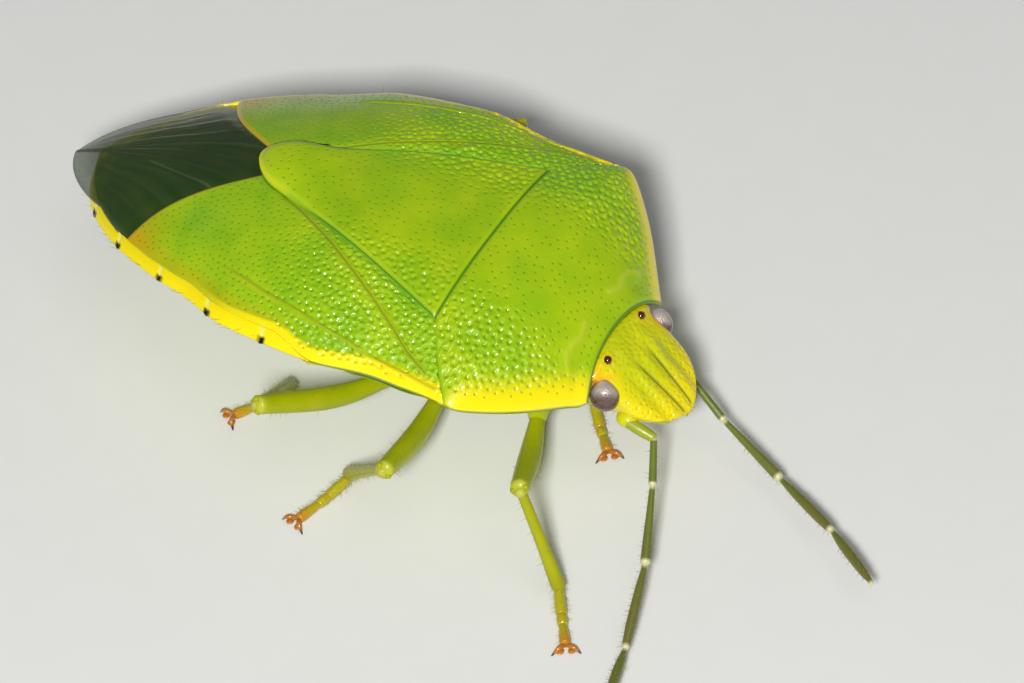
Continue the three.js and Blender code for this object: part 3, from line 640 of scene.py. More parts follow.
def relief_tree():
    """Pits pressed into a plate where its pitted attribute allows, and fine wrinkles between."""
    tree, given = node_tree("pits_and_wrinkles", (
        ("Pit spacing", "Float"), ("Pit radius", "Float"), ("Pit depth", "Float"),
        ("Rough spread", "Float"), ("Wrinkle height", "Float"), ("Wrinkle scale", "Vector"),
        ("Seed", "Int")))
    add = partial(add_node, tree)
    pitted = add("GeometryNodeInputNamedAttribute", {"Name": "pitted"}, data_type="FLOAT")
    roots = add("GeometryNodeDistributePointsOnFaces", {
        "Mesh": given["Geometry"], "Distance Min": given["Pit spacing"], "Density Max": PIT_DENSITY,
        "Density Factor": pitted.outputs["Attribute"], "Seed": given["Seed"]},
        distribute_method="POISSON")
    near = add("GeometryNodeProximity", {0: roots.outputs["Points"]},
               target_element="POINTS").outputs["Distance"]
    rough = add("GeometryNodeInputNamedAttribute", {"Name": "rough"},
                data_type="FLOAT").outputs["Attribute"]
    wider = add("ShaderNodeMath", {0: rough, 1: given["Rough spread"], 2: 1.0},
                operation="MULTIPLY_ADD").outputs[0]
    reach = add("ShaderNodeMath", {0: wider, 1: given["Pit radius"]}, operation="MULTIPLY").outputs[0]
    press, dark = (add("ShaderNodeMapRange", {"Value": near, "From Min": 0.0, "From Max": radius,
                                              "To Min": 1.0, "To Max": 0.0},
                       interpolation_type="SMOOTHSTEP").outputs["Result"]
                   for radius in (reach, given["Pit radius"]))
    place = add("GeometryNodeInputPosition").outputs[0]
    stretched = add("ShaderNodeVectorMath", {0: place, 1: given["Wrinkle scale"]}, operation="MULTIPLY")
    waves = add("ShaderNodeTexNoise", {"Vector": stretched.outputs[0], "Scale": 1.0, "Detail": 2.0})
    centred = add("ShaderNodeMath", {0: waves.outputs["Fac"], 1: 0.5}, operation="SUBTRACT")
    local = add("ShaderNodeMath", {0: centred.outputs[0], 1: rough}, operation="MULTIPLY")
    wrinkle = add("ShaderNodeMath", {0: local.outputs[0], 1: given["Wrinkle height"]},
                  operation="MULTIPLY")
    deeper = add("ShaderNodeMath", {0: wider, 1: given["Pit depth"]}, operation="MULTIPLY")
    sunk = add("ShaderNodeMath", {0: press, 1: deeper.outputs[0]}, operation="MULTIPLY")
    lift = add("ShaderNodeMath", {0: wrinkle.outputs[0], 1: sunk.outputs[0]}, operation="SUBTRACT")
    normal = add("GeometryNodeInputNormal").outputs[0]
    offset = add("ShaderNodeVectorMath", {0: normal, "Scale": lift.outputs[0]}, operation="SCALE")
    marked = add("GeometryNodeStoreNamedAttribute", {
        "Geometry": given["Geometry"], "Name": "pit", "Value": dark}, data_type="FLOAT", domain="POINT")
    pressed = add("GeometryNodeSetPosition", {"Geometry": marked.outputs[0],
                                              "Offset": offset.outputs[0]})
    close_tree(tree, pressed.outputs[0], given["Material"])
    return tree


def hair_tree():
    """Fine bent hairs rooted where the hairy attribute allows, leaning along the lie attribute.
    Each hair's OFBake patch lies at its root's place on the unwrapped skin: across it runs the
    way round the hair, and up it the way to the tip."""
    tree, given = node_tree("hairs", (
        ("Spacing", "Float"), ("Length", "Float"), ("Thickness", "Float"), ("Lean", "Float"),
        ("Seed", "Int")))
    add = partial(add_node, tree)
    hairy = add("GeometryNodeInputNamedAttribute", {"Name": "hairy"}, data_type="FLOAT")
    roots = add("GeometryNodeDistributePointsOnFaces", {
        "Mesh": given["Geometry"], "Distance Min": given["Spacing"], "Density Max": HAIR_DENSITY,
        "Density Factor": hairy.outputs["Attribute"], "Seed": given["Seed"]},
        distribute_method="POISSON")
    lie = add("GeometryNodeInputNamedAttribute", {"Name": "lie"}, data_type="FLOAT_VECTOR")
    leaning = add("ShaderNodeVectorMath", {0: lie.outputs["Attribute"], "Scale": given["Lean"]},
                  operation="SCALE")
    stray = add("FunctionNodeRandomValue", {0: (-0.25,) * 3, 1: (0.25,) * 3}, data_type="FLOAT_VECTOR")
    upright = add("ShaderNodeVectorMath", {0: roots.outputs["Normal"], 1: leaning.outputs[0]},
                  operation="ADD")
    way = add("ShaderNodeVectorMath", {0: upright.outputs[0], 1: stray.outputs[0]}, operation="ADD")
    turned = add("FunctionNodeAlignRotationToVector", {"Vector": way.outputs[0]}, axis="Z")
    line = add("GeometryNodeCurveQuadraticBezier", {
        "Resolution": 4, "Start": (0, 0, 0), "Middle": (0, 0, 0.55), "End": (0.22, 0, 1.0)})
    ring = add("GeometryNodeCurvePrimitiveCircle", {"Resolution": 4, "Radius": given["Thickness"]})
    share = add("GeometryNodeSplineParameter").outputs["Factor"]
    taper = add("ShaderNodeMapRange", {"Value": share, "To Min": 1.0, "To Max": 0.25})
    along, around = (add("GeometryNodeStoreNamedAttribute", {
        "Geometry": curve.outputs[0], "Name": label, "Value": share},
        data_type="FLOAT", domain="POINT").outputs[0] for curve, label in ((line, "up"), (ring, "round")))
    blade = add("GeometryNodeCurveToMesh", {
        "Curve": along, "Profile Curve": around, "Scale": taper.outputs["Result"], "Fill Caps": True})
    size = add("FunctionNodeRandomValue", {2: 0.6, 3: 1.15}, data_type="FLOAT").outputs[1]
    scale = add("ShaderNodeMath", {0: size, 1: given["Length"]}, operation="MULTIPLY")
    planted = add("GeometryNodeInstanceOnPoints", {
        "Points": roots.outputs["Points"], "Instance": blade.outputs[0],
        "Rotation": turned.outputs[0], "Scale": scale.outputs[0]})
    real = add("GeometryNodeRealizeInstances", {"Geometry": planted.outputs[0]})
    root = add("GeometryNodeInputNamedAttribute", {"Name": "root_place"}, data_type="FLOAT_VECTOR")
    across, up = (add("GeometryNodeInputNamedAttribute", {"Name": label},
                      data_type="FLOAT").outputs["Attribute"] for label in ("round", "up"))
    patch = add("ShaderNodeCombineXYZ", {"X": across, "Y": up}).outputs[0]
    small = add("ShaderNodeVectorMath", {0: patch, "Scale": PATCH}, operation="SCALE")
    spot = add("ShaderNodeVectorMath", {0: root.outputs["Attribute"], 1: small.outputs[0]},
               operation="ADD")
    mapped = add("GeometryNodeStoreNamedAttribute", {
        "Geometry": real.outputs[0], "Name": "OFBake", "Value": spot.outputs[0]},
        data_type="FLOAT2", domain="CORNER")
    close_tree(tree, mapped.outputs[0], given["Material"])
    return tree


RELIEF = relief_tree()
HAIRS = hair_tree()


def hairs_of(skin, name, material, slot, **sizes):
    """A piece of solid hairs rooted on a skin."""
    piece = bpy.data.objects.new(name, skin.data.copy())
    bpy.context.scene.collection.objects.link(piece)
    grow(piece, HAIRS, Material=material, **sizes)
    piece.data.shade_smooth()
    settle(piece, slot)


def settle(piece, slot, *nodes):
    """The piece rides on the one body and stands for the CAD nodes. slot is not used."""
    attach(piece, "root")
    if nodes:
        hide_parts(*nodes)


# Pronotum

def pronotum_front(k):
    on_collar = k < 0.4
    t = np.clip(k / 0.4, 0, 1)
    y = np.where(on_collar, lerp(COLLAR_Y, NECK_Y, t**2), lerp(NECK_Y, HUMERUS_Y, (k - 0.4) / 0.6))
    return np.where(on_collar, t * half_width(NECK_Y), half_width(y)), y


def pronotum_rear(k):
    on_base = k < 0.6
    t = np.clip((k - 0.6) / 0.4, 0, 1)
    x = np.where(on_base, k / 0.6 * BASE_HALF, lerp(BASE_HALF, half_width(HUMERUS_Y), t))
    return x, np.where(on_base, 0.0, HUMERUS_Y * t**1.25)


def pronotum():
    def place(u, v):
        s = 2 * v - 1
        k = np.abs(s)
        front_x, front_y = pronotum_front(k)
        rear_x, rear_y = pronotum_rear(k)
        return np.sign(s) * lerp(front_x, rear_x, u), lerp(front_y, rear_y, u)

    side = [(half_width(y), y) for y in np.linspace(NECK_Y, HUMERUS_Y, 40)]
    k = np.linspace(0, 1, 41)
    front = list(zip(*pronotum_front(k * 0.4)))
    rear = list(zip(*pronotum_rear(k)))

    def height(x, y):
        a = np.abs(x)
        z = dorsal(x, y)
        z -= 0.06 * bell(distance_to(rear, a, y), 0.05)
        z -= 0.04 * bell(distance_to(front, a, y), 0.05)
        z += 0.03 * bell(distance_to(side, a, y), 0.2)
        z += 0.02 * bell(distance_to(CALLUS, a, y), 0.06)
        return z - 0.03 * bell(distance_to(front, a, y) - 0.3, 0.12)

    def marks(x, y):
        a = np.abs(x)
        to_side = distance_to(side, a, y)
        to_rear = distance_to(rear, a, y)
        to_front = distance_to(front, a, y)
        clear = ramp(0.1, 0.2, to_side) * ramp(0.07, 0.12, to_rear) * ramp(0.05, 0.12, to_front)
        from_callus = distance_to(CALLUS, a, y)
        return {
            "margin": ramp(np.where(x < 0, 0.58, 0.35), 0.05, to_side) * ramp(-0.95, -1.4, y),
            "seam": np.maximum(ramp(0.035, 0.01, to_rear), ramp(0.04, 0.01, to_front)),
            "pitted": clear * ramp(0.1, 0.18, from_callus) * lerp(0.75, 1, ramp(1.0, 2.4, a)),
            "rough": clear * ramp(1.0, 2.4, a) * ramp(0.15, 0.4, to_side),
            "pale": 0.7 * bell(from_callus, 0.06) + 0.6 * bell(to_front - 0.2, 0.1) * ramp(1.2, 1.8, a),
            # Teal: own tint along the rear seam; the teal over the far (left) side is painted shade
            "teal": ramp(1.2, 2.6, x) * ramp(-1.8, -0.6, y) * 0.6 + ramp(0.12, 0.04, to_rear) * 0.5,
        }

    form = Form()
    plate(form, place, height, 180, 460, marks)
    piece = form.make("pronotum_shield", SHIELD_CUTICLE)
    grow(piece, RELIEF, Pit_spacing=0.18 * MM, Pit_radius=0.038 * MM, Pit_depth=0.02 * MM,
         Rough_spread=1.5, Wrinkle_height=0.12 * MM, Wrinkle_scale=(4500, 9000, 5000), Seed=3,
         Material=SHIELD_CUTICLE)
    settle(piece, "shield_green", "pronotum")


# Scutellum

def scutellum():
    def place(u, v):
        y = lerp(-0.03, SCUTELLUM_END_Y, np.sin(u * math.pi / 2))
        return (2 * v - 1) * scutellum_half(y), y

    ys = lerp(0, SCUTELLUM_END_Y, np.sin(np.linspace(0, math.pi / 2, 60)))
    side = list(zip(scutellum_half(ys), ys))

    def height(x, y):
        shield = BACK_Z - BACK_REAR_CURVE * np.maximum(y - 2, 0) ** 2
        blend = ramp(3.5, 5.5, y)
        z = lerp(dorsal(x, y), shield - 0.12 * x * x, blend) + TONGUE_LIFT * blend
        to_side = distance_to(side, np.abs(x), y)
        z -= lerp(0.05, 0.1, blend) * bell(to_side, lerp(0.05, 0.1, blend))
        return z - 0.05 * bell(y, 0.05)

    def marks(x, y):
        a = np.abs(x)
        to_side = distance_to(side, a, y)
        clear = ramp(0.07, 0.14, to_side) * ramp(0.06, 0.14, y)
        return {
            "margin": 0.4 * ramp(0.11, 0.02, to_side) * ramp(4.6, 5.3, y),
            "seam": ramp(0.03, 0.008, to_side) * ramp(4.6, 3.6, y) + ramp(0.035, 0.01, y),
            "pitted": clear * lerp(0.7, 1, ramp(0.6, 1.6, a)),
            "rough": clear * ramp(0.7, 1.9, a) * ramp(5.0, 3.0, y),
            "pale": 0.4 * bell(to_side - 0.06, 0.025) + 0.35 * ramp(5.2, 5.9, y),
            # Teal: own tint along the side edges; the teal over the far (left) side is painted shade
            "teal": 0.5 * ramp(0.1, 0.03, to_side) + 0.5 * ramp(0.4, 1.5, x) * ramp(1, 4, y),
        }

    form = Form()
    plate(form, place, height, 300, 270, marks, SCUTELLUM_THICKNESS)
    piece = form.make("scutellum_shield", SHIELD_CUTICLE)
    grow(piece, RELIEF, Pit_spacing=0.175 * MM, Pit_radius=0.036 * MM, Pit_depth=0.018 * MM,
         Rough_spread=1.5, Wrinkle_height=0.1 * MM, Wrinkle_scale=(6000, 8000, 5000), Seed=5,
         Material=SHIELD_CUTICLE)
    settle(piece, "shield_green", "scutellum")


# Corium: the leathery front of each fore wing

def corium(name, side, seed):
    def inner_x(y):
        return np.maximum(scutellum_half(y) - 0.06, 0.42)

    def outer_x(y):
        return half_width(y) - rim_room(y)

    def place(u, v):
        inner_y = lerp(-0.06, CORIUM_INNER_END_Y, u)
        outer_y = lerp(HUMERUS_Y - 0.03, CORIUM_APEX_Y, u)
        far = outer_x(outer_y)
        bow = SUTURE_BOW * np.sin(math.pi * v) * u * u
        lag = 0.1 * np.sin(math.pi * v) * (1 - u)
        return side * lerp(inner_x(inner_y), far, v), lerp(inner_y, outer_y, v) + bow + lag

    v = np.linspace(0, 1, 40)
    x, y = place(np.ones(40), v)
    suture = list(zip(np.abs(x), y))
    ys = np.linspace(HUMERUS_Y, CORIUM_APEX_Y, 60)
    costa = list(zip(outer_x(ys), ys))
    inner_ys = np.linspace(0, CORIUM_INNER_END_Y, 60)
    clavus = list(zip(inner_x(inner_ys), inner_ys))

    def height(x, y):
        a = np.abs(x)
        z = dorsal(x, y)
        z -= 0.02 * bell(distance_to(CLAVAL_SUTURE, a, y), 0.03)
        z += 0.02 * bell(distance_to(RADIAL_VEIN, a, y), 0.04) * ramp(5.8, 4.4, y)
        z -= 0.015 * bell(distance_to(RADIAL_VEIN, a, y) - 0.08, 0.04) * ramp(5.8, 4.4, y)
        z -= 0.07 * bell(distance_to(clavus, a, y), 0.16) * ramp(5.6, 4.8, y)
        z -= 0.04 * bell(distance_to(suture, a, y), 0.05)
        z += 0.02 * bell(distance_to(costa, a, y) - 0.12, 0.1) * ramp(4, 1.5, y)
        return z - 0.03 * bell(distance_to(costa, a, y) - 0.3, 0.06) * ramp(4, 1.5, y)

    def marks(x, y):
        a = np.abs(x)
        to_costa = distance_to(costa, a, y)
        to_suture = distance_to(suture, a, y)
        to_clavus = distance_to(clavus, a, y)
        to_claval = distance_to(CLAVAL_SUTURE, a, y)
        to_radial = distance_to(RADIAL_VEIN, a, y)
        clear = (ramp(0.06, 0.12, to_costa) * ramp(0.08, 0.16, to_suture) * ramp(0.07, 0.11, to_clavus)
                 * ramp(0.03, 0.07, to_claval) * ramp(0.03, 0.06, to_radial + 0.06 * ramp(4.4, 5.6, y)))
        edge_band = lerp(0.38, 0.12, ramp(0.5, 4.5, y))
        return {
            "margin": ramp(edge_band, edge_band * 0.4, to_costa) * ramp(6.5, 3.5, y),
            "ochre": (ramp(0.14, 0.02, to_suture) + 0.7 * bell(np.hypot(a - 2.5, y - 7.9), 0.6)
                      + 0.45 * ramp(0.4, 0.1, to_costa) * ramp(2, 4, y)),
            # Painted shadow: a near-black strip in the gap beside the scutellum, on the far (left) wing
            # only
            "slit": ramp(0.24, 0.2, to_clavus) * ramp(4.75, 4.9, y) * ramp(5.35, 5.2, y) * (x > 0),
            "seam": ramp(0.03, 0.01, to_clavus) * ramp(5.2, 4.4, y) + 0.6 * ramp(0.025, 0.01, to_claval),
            "vein": bell(to_radial, 0.03) * ramp(5.6, 4.6, y) + bell(to_claval - 0.05, 0.025),
            "pitted": clear,
            "rough": clear * ramp(5.5, 1.5, y),
            "teal": 0.5 * ramp(0.25, 0.1, to_clavus) + 0.35 * bell(np.hypot(a - 1.9, y - 6.4), 0.5),
        }

    form = Form()
    plate(form, place, height, 400, 200, marks)
    piece = form.make(f"corium_wing_{name}", CORIUM_CUTICLE)
    grow(piece, RELIEF, Pit_spacing=0.16 * MM, Pit_radius=0.036 * MM, Pit_depth=0.018 * MM,
         Rough_spread=1.6, Wrinkle_height=0.1 * MM, Wrinkle_scale=(8000, 6000, 6000), Seed=seed,
         Material=CORIUM_CUTICLE)
    settle(piece, "wing_green", f"corium_{name}")


# Membrane: the clear rear of each fore wing. The right one lies over the left.

def sheet_height(x, y):
    reach = np.logaddexp(half_width(y) / 0.1, (membrane_half(y) + 0.3) / 0.1) * 0.1
    across = np.clip(np.abs(x) / reach, 0, 1)
    margin = margin_height(y)
    return lerp(margin, np.maximum(back_height(y), margin), 1 - across**2)


def membrane(name, side, lift):
    front_y = SCUTELLUM_END_Y - 0.35
    corner = 0.3
    hinge_y = CORIUM_APEX_Y - 0.02
    hinge_x = half_width(hinge_y) - RIM + FILM_OVER_RIM

    def place(u, v):
        lap = FILM_LAP * ramp(MEMBRANE_END_Y, 6.3, lerp(front_y, MEMBRANE_END_Y, u))
        corner_x = side * 0.7
        t = np.clip((v - corner) / (1 - corner), 0, 1)
        front_x = np.where(v < corner, lerp(-side * lap, corner_x, v / corner),
                           lerp(corner_x, side * hinge_x, t))
        start_y = np.where(v < corner, front_y, lerp(front_y + 0.15, hinge_y, t)
                           + SUTURE_BOW * np.sin(math.pi * t) - 0.12 * ramp(1, 0.8, t))
        outer_y = lerp(hinge_y, MEMBRANE_END_Y - 0.01, np.sin(u * math.pi / 2))
        inner_y = lerp(front_y, MEMBRANE_END_Y - 0.01, u)
        beside_rim = half_width(outer_y) - RIM + FILM_OVER_RIM
        beside_rim *= ramp(FILM_LEAVES_RIM_Y + 0.4, FILM_LEAVES_RIM_Y, outer_y)
        reach = np.maximum(beside_rim, membrane_half(outer_y))
        edge_x = side * np.minimum(reach, hinge_x)
        fan_x = lerp(-side * lap, edge_x, v)
        fan_y = lerp(inner_y, outer_y, v)
        fade = (1 - u) ** 2
        rest_x = lerp(-side * lap, side * hinge_x, v)
        rest_y = lerp(front_y, hinge_y, v)
        return fan_x + (front_x - rest_x) * fade, fan_y + (start_y - rest_y) * fade

    rows, columns = 180, 150
    v, u = np.meshgrid(np.linspace(0, 1, columns + 1), np.linspace(0, 1, rows + 1))
    ridge = np.clip(np.cos(v * VEINS * TURN), 0, 1) ** 6
    shown = ramp(0.02, 0.2, u) * ramp(0.9, 0.5, u)
    folds = 0.5 + 0.5 * np.sin(v * 48 + 2.2 * np.sin(u * 5) + 1.3 * np.sin(v * 11))
    x, y = place(u, v)
    wave = 0.01 * ridge * shown + 0.003 * folds * ramp(0.95, 0.4, u)
    wave += 0.003 * np.sin(u * 170) * ramp(0.9, 0.98, v) * ramp(0.95, 0.7, u)
    z = sheet_height(x, y) + lift * ramp(0, 0.15, u) + wave - 0.02 - 0.09 * ramp(0.12, 0, u)
    top = np.stack([x, y, z], -1).reshape(-1, 3)
    low = top - (0, 0, FILM)
    upper = grid_faces(rows, columns)
    faces = upper + [tuple(i + len(top) for i in face) for face in upper]
    edge = border(rows, columns)
    faces += [(a, b, b + len(top), a + len(top)) for a, b in zip(edge, edge[1:] + edge[:1])]
    streak = bell(distance_to(FILM_VEIN, x, y), 0.025) * (side < 0)
    # Paler and denser along veins, folds and the streak; the pale outer edge is painted sheen
    fold = (0.12 * ridge * shown + 0.08 * folds + 0.4 * ramp(0.95, 1, v) + 0.4 * streak).ravel()
    form = Form()
    form.add(np.concatenate([top, low]), faces, fold=np.concatenate([fold, fold]))
    settle(form.make(f"membrane_film_{name}", MEMBRANE_FILM), "membrane_smoke", f"membrane_{name}")


# Skin of the trunk: thorax, abdomen with its free yellow rim, and belly

def trunk_skin():
    rows, half = 230, 150
    u = np.linspace(0, 1, rows + 1)
    y_row = lerp(TRUNK_FRONT_Y, BODY_END_Y - 0.01, np.sin(u * math.pi / 2) * 0.75 + u * 0.25)
    angle = np.linspace(-math.pi / 2, math.pi / 2, half + 1)
    y, a = np.meshgrid(y_row, np.sin(angle), indexing="ij")
    inset = 0.06 + 0.3 * ramp(0.0, -2.5, y)
    edge = np.maximum(half_width(y) - inset * ramp(2.4, 1.8, y), 0.05)
    neck = np.sqrt(np.clip((y - TRUNK_FRONT_Y) / 0.5, 0, 1))
    x = a * edge * lerp(0.2, 1, neck)
    to_edge = edge - np.abs(x)
    rim_width = rim_room(y) + 0.03
    free = ramp(*RIM_RISES_Y, y) * ramp(rim_width + 0.03, rim_width - 0.03, to_edge)
    crease = sum(bell(y - end - 0.25 * to_edge, 0.035) for end in SEGMENT_ENDS_Y)
    tooth = sum(bell(y - end, 0.06) for end in SEGMENT_ENDS_Y) * bell(to_edge, 0.06)
    top_z = dorsal(x, y) - lerp(0.3, 0.015, free) - 0.03 * free * crease
    top_z -= 0.05 * free * bell(to_edge, 0.07)
    top_z -= 0.03 * crease * (1 - free)
    across = np.clip(np.abs(x) / np.maximum(half_width(y), 0.05), 0, 1)
    low_z = ventral(across, y)
    low_z += 0.05 * crease * ramp(1.0, 0.6, across)
    low_z += 0.06 * bell(y + 1.05 + 0.25 * across, 0.07) + 0.06 * bell(y - 1.25 - 0.2 * across, 0.07)
    low_z -= 0.06 * bell(across, 0.12) * ramp(2, 3, y)
    low_z = np.minimum(low_z, top_z - 0.02)
    low_z = lerp(top_z - 0.5, low_z, lerp(0.2, 1, neck))
    out = np.sign(a) * 0.025 * tooth
    top = np.stack([x + out, y, top_z], -1)
    bottom = np.stack([x + out, y, low_z], -1)[:, ::-1]
    ring = np.concatenate([top, bottom], 1)
    spot = sum(ramp(0.11, 0.07, np.abs(y - end)) for end in SEGMENT_ENDS_Y) * ramp(0.1, 0.06, to_edge)
    spot_low = spot * ramp(0.2, 0.1, to_edge)
    spiracle = sum(bell(np.hypot(y - end + 0.8, across - 0.8), 0.035) for end in SEGMENT_ENDS_Y)
    hairy = bell(to_edge, 0.05) * ramp(3.4, 4.5, y)

    def both(upper, lower):
        return np.concatenate([upper, lower[:, ::-1]], 1).ravel()

    zero = np.zeros_like(x)
    lie = np.zeros(ring.shape)
    lie[..., 0] = np.sign(ring[..., 0])
    lie[..., 1] = 0.6
    place = np.stack([(ring[..., 0] + 5) / 22, (ring[..., 1] + 3) / 14,
                      np.zeros(ring.shape[:2])], -1)
    place[:, half + 1:, 0] += 0.5
    width = 2 * (half + 1)
    faces = grid_faces(rows, width, wrap=True)
    faces.append(tuple(range(width)))
    faces.append(tuple(rows * width + j for j in range(width)))
    form = Form()
    form.add(ring.reshape(-1, 3), faces,
             under=both(ramp(0.5, 0.1, free), zero), rim=both(free, 0.85 * ramp(0.16, 0.06, to_edge)),
             suture=both(free * crease * ramp(0.02, 0.1, to_edge), 0.5 * crease),
             spot=both(spot, np.maximum(spot_low, 0.8 * spiracle)), hairy=both(hairy, 0.5 * hairy),
             lie=lie.reshape(-1, 3), root_place=place.reshape(-1, 3))
    skin = form.make("trunk_skin", BODY_CUTICLE)
    hairs_of(skin, "rim_hairs", HAIR_CHITIN, "belly_green", Spacing=0.12 * MM, Length=0.22 * MM,
             Thickness=0.028, Lean=0.6, Seed=11)
    settle(skin, "belly_green", "thorax", "abdomen")


# Head, eyes and ocelli

def swell(x, z, y, waist, centre):
    """Moves points of the head out to the brow ridge under an eye where it lies beyond them."""
    rx, ry, rz = BROW_RADII
    out = np.hypot(x, z - waist) + 1e-9
    dx, dz = x / out, (z - waist) / out
    off_x, off_z = -centre[0], waist - centre[2]
    a = (dx / rx) ** 2 + (dz / rz) ** 2
    b = dx * off_x / rx**2 + dz * off_z / rz**2
    c = (off_x / rx) ** 2 + (off_z / rz) ** 2 - 1 + ((y - centre[1]) / ry) ** 2
    inside = b * b - a * c
    hit = np.where(inside > 0, (-b + np.sqrt(np.maximum(inside, 0))) / a, 0)
    reach = -soft_min(-out, -hit, 0.03)
    return dx * reach, waist + dz * reach


def head():
    around, rows = 240, 170
    u = np.linspace(0, 1, rows + 1)
    y_row = lerp(HEAD_TIP_Y, HEAD_REAR_Y, 1 - np.cos(u * math.pi / 2))
    turn = np.linspace(0, TURN, around, endpoint=False)
    y, t = np.meshgrid(y_row, turn, indexing="ij")
    fore = np.clip((y - HEAD_TIP_Y) / (-3.9 - HEAD_TIP_Y), 0, 1)
    half = np.maximum(HEAD_HALF * (1 - (1 - fore) ** 2.2) ** 0.62, 0.02)
    half += 0.3 * ramp(-3.5, -3.15, y) * ramp(0, 0.5, np.sin(t))
    slope = np.clip((y - HEAD_TIP_Y) / (-3.3 - HEAD_TIP_Y), 0, 1) ** 0.9
    roof = lerp(HEAD_TIP_Z, HEAD_TOP_Z, slope) - 0.12 * np.maximum(y + 3.3, 0)
    floor = np.minimum(HEAD_FLOOR_Z + 0.45 * ramp(-3.6, HEAD_TIP_Y, y), roof - 0.02)
    waist = lerp(floor, roof, 0.68)
    x = half * np.cos(t)
    rise = np.abs(np.sin(t))
    upper = np.sin(t) >= 0
    boxy = lerp(0.88, 0.55, ramp(-4.25, -3.75, y) * ramp(-3.1, -3.5, y))
    z = np.where(upper, lerp(waist, roof, rise**boxy), lerp(waist, floor, rise**1.15))
    for side in (1, -1):
        x, z = swell(x, z, y, waist, BROW * (side, 1, 1))
    a = np.abs(x)
    tylus = lerp(0.15, 0.28, np.clip((y - HEAD_TIP_Y) / 1.3, 0, 1))
    length = ramp(-3.75, -4.1, y)
    inland = ramp(HEAD_TIP_Y, -4.85, y) * upper
    groove = bell(a - tylus, 0.035) * length * upper
    z -= 0.09 * groove
    z += 0.05 * bell(a, 0.15) * ramp(-3.6, -4.0, y) * inland
    z += 0.06 * bell(a - tylus - 0.22, 0.16) * ramp(-3.4, -4.0, y) * inland
    z -= 0.05 * bell(a - 0.62, 0.14) * ramp(-3.7, -4.1, y) * inland
    z -= 0.05 * bell(y + 3.32, 0.1) * ramp(0.75, 0.3, a) * upper
    z += 0.03 * bell(a - 0.36, 0.14) * bell(y + 3.55, 0.16) * upper
    brow = np.sqrt((a - EYE_SEAT[0]) ** 2 + (y - EYE_SEAT[1]) ** 2 + (z - EYE_SEAT[2]) ** 2)
    pale_ring = bell(np.hypot(a - OCELLUS[0], y - OCELLUS[1]), 0.17)
    clear = ramp(0.03, 0.08, np.abs(a - tylus) + (1 - length)) * ramp(0.4, 0.55, brow) * upper
    form = Form()
    place = np.stack([t / TURN, u[:, None] * np.ones_like(t), np.zeros_like(t)], -1)
    faces = grid_faces(rows, around, wrap=True)
    faces.append(tuple(range(around)))
    faces.append(tuple(rows * around + j for j in range(around)))
    marks = {
        "groove": groove, "pitted": 0.8 * clear, "rough": clear,
        "socket": (0.8 * ramp(0.52, 0.42, brow) * ramp(-3.75, -3.5, y) + 0.35 * pale_ring
                   + 0.7 * ramp(-3.5, -3.3, y) * ramp(0.9, 1.2, a)),
        "front": ramp(-3.9, -4.9, y) + 0.8 * ramp(0.6, 1.1, a) + 0.8 * (1 - upper),
        "hairy": 0.3 * ramp(-4.4, -4.9, y) + 0.2 * (1 - upper),
    }
    lie = np.zeros(place.shape)
    lie[..., 1] = -1
    form.add(np.stack([x, y, z], -1).reshape(-1, 3), faces, lie=lie.reshape(-1, 3),
             root_place=place.reshape(-1, 3), **{k: np.ravel(m * 1.0) for k, m in marks.items()})
    for side in (1, -1):
        base = np.array(FEELERS["left" if side > 0 else "right"][0])
        ball(form, base + (-0.1 * side, 0.1, 0.0), (0.22, 0.26, 0.2), front=0.4)
    piece = form.make("head_capsule", HEAD_CUTICLE)
    hairs_of(piece, "head_hairs", HAIR_CHITIN, "head_yellow_green", Spacing=0.16 * MM,
             Length=0.14 * MM, Thickness=0.035, Lean=0.5, Seed=13)
    grow(piece, RELIEF, Pit_spacing=0.13 * MM, Pit_radius=0.034 * MM, Pit_depth=0.012 * MM,
         Rough_spread=0.6, Wrinkle_height=0.04 * MM, Wrinkle_scale=(9000, 16000, 9000), Seed=9,
         Material=HEAD_CUTICLE)
    settle(piece, "head_yellow_green", "head")


def eyes():
    for name, side in (("left", 1), ("right", -1)):
        form = Form()
        outward = np.array([side * 0.6, -0.37, 0.71])
        apex = np.array([side * -0.6, 0.37, 0.71])

        def pupil(unit, outward=outward, apex=apex):
            off = unit - outward
            along = off @ apex
            across = np.linalg.norm(off - np.outer(along, apex), axis=1)
            return bell(across, 0.07) * bell(along, 0.22)

        def edge(unit, outward=outward, apex=apex):
            return 0.95 * ramp(0.3, -0.4, unit @ apex) + 0.8 * ramp(0.72, 0.35, unit @ outward)

        ball(form, EYE_SEAT * (side, 1, 1), EYE_RADII, 72, 48, apex, pupil=pupil, edge=edge)
        settle(form.make(f"eye_lenses_{name}", EYE_LENSES), "eye_grey", f"eye_{name}")
        bead = Form()
        ball(bead, OCELLUS * (side, 1, 1), (OCELLUS_R,) * 3, 32, 20)
        settle(bead.make(f"ocellus_{name}", OCELLUS_GLASS), "eye_grey")


# Limbs

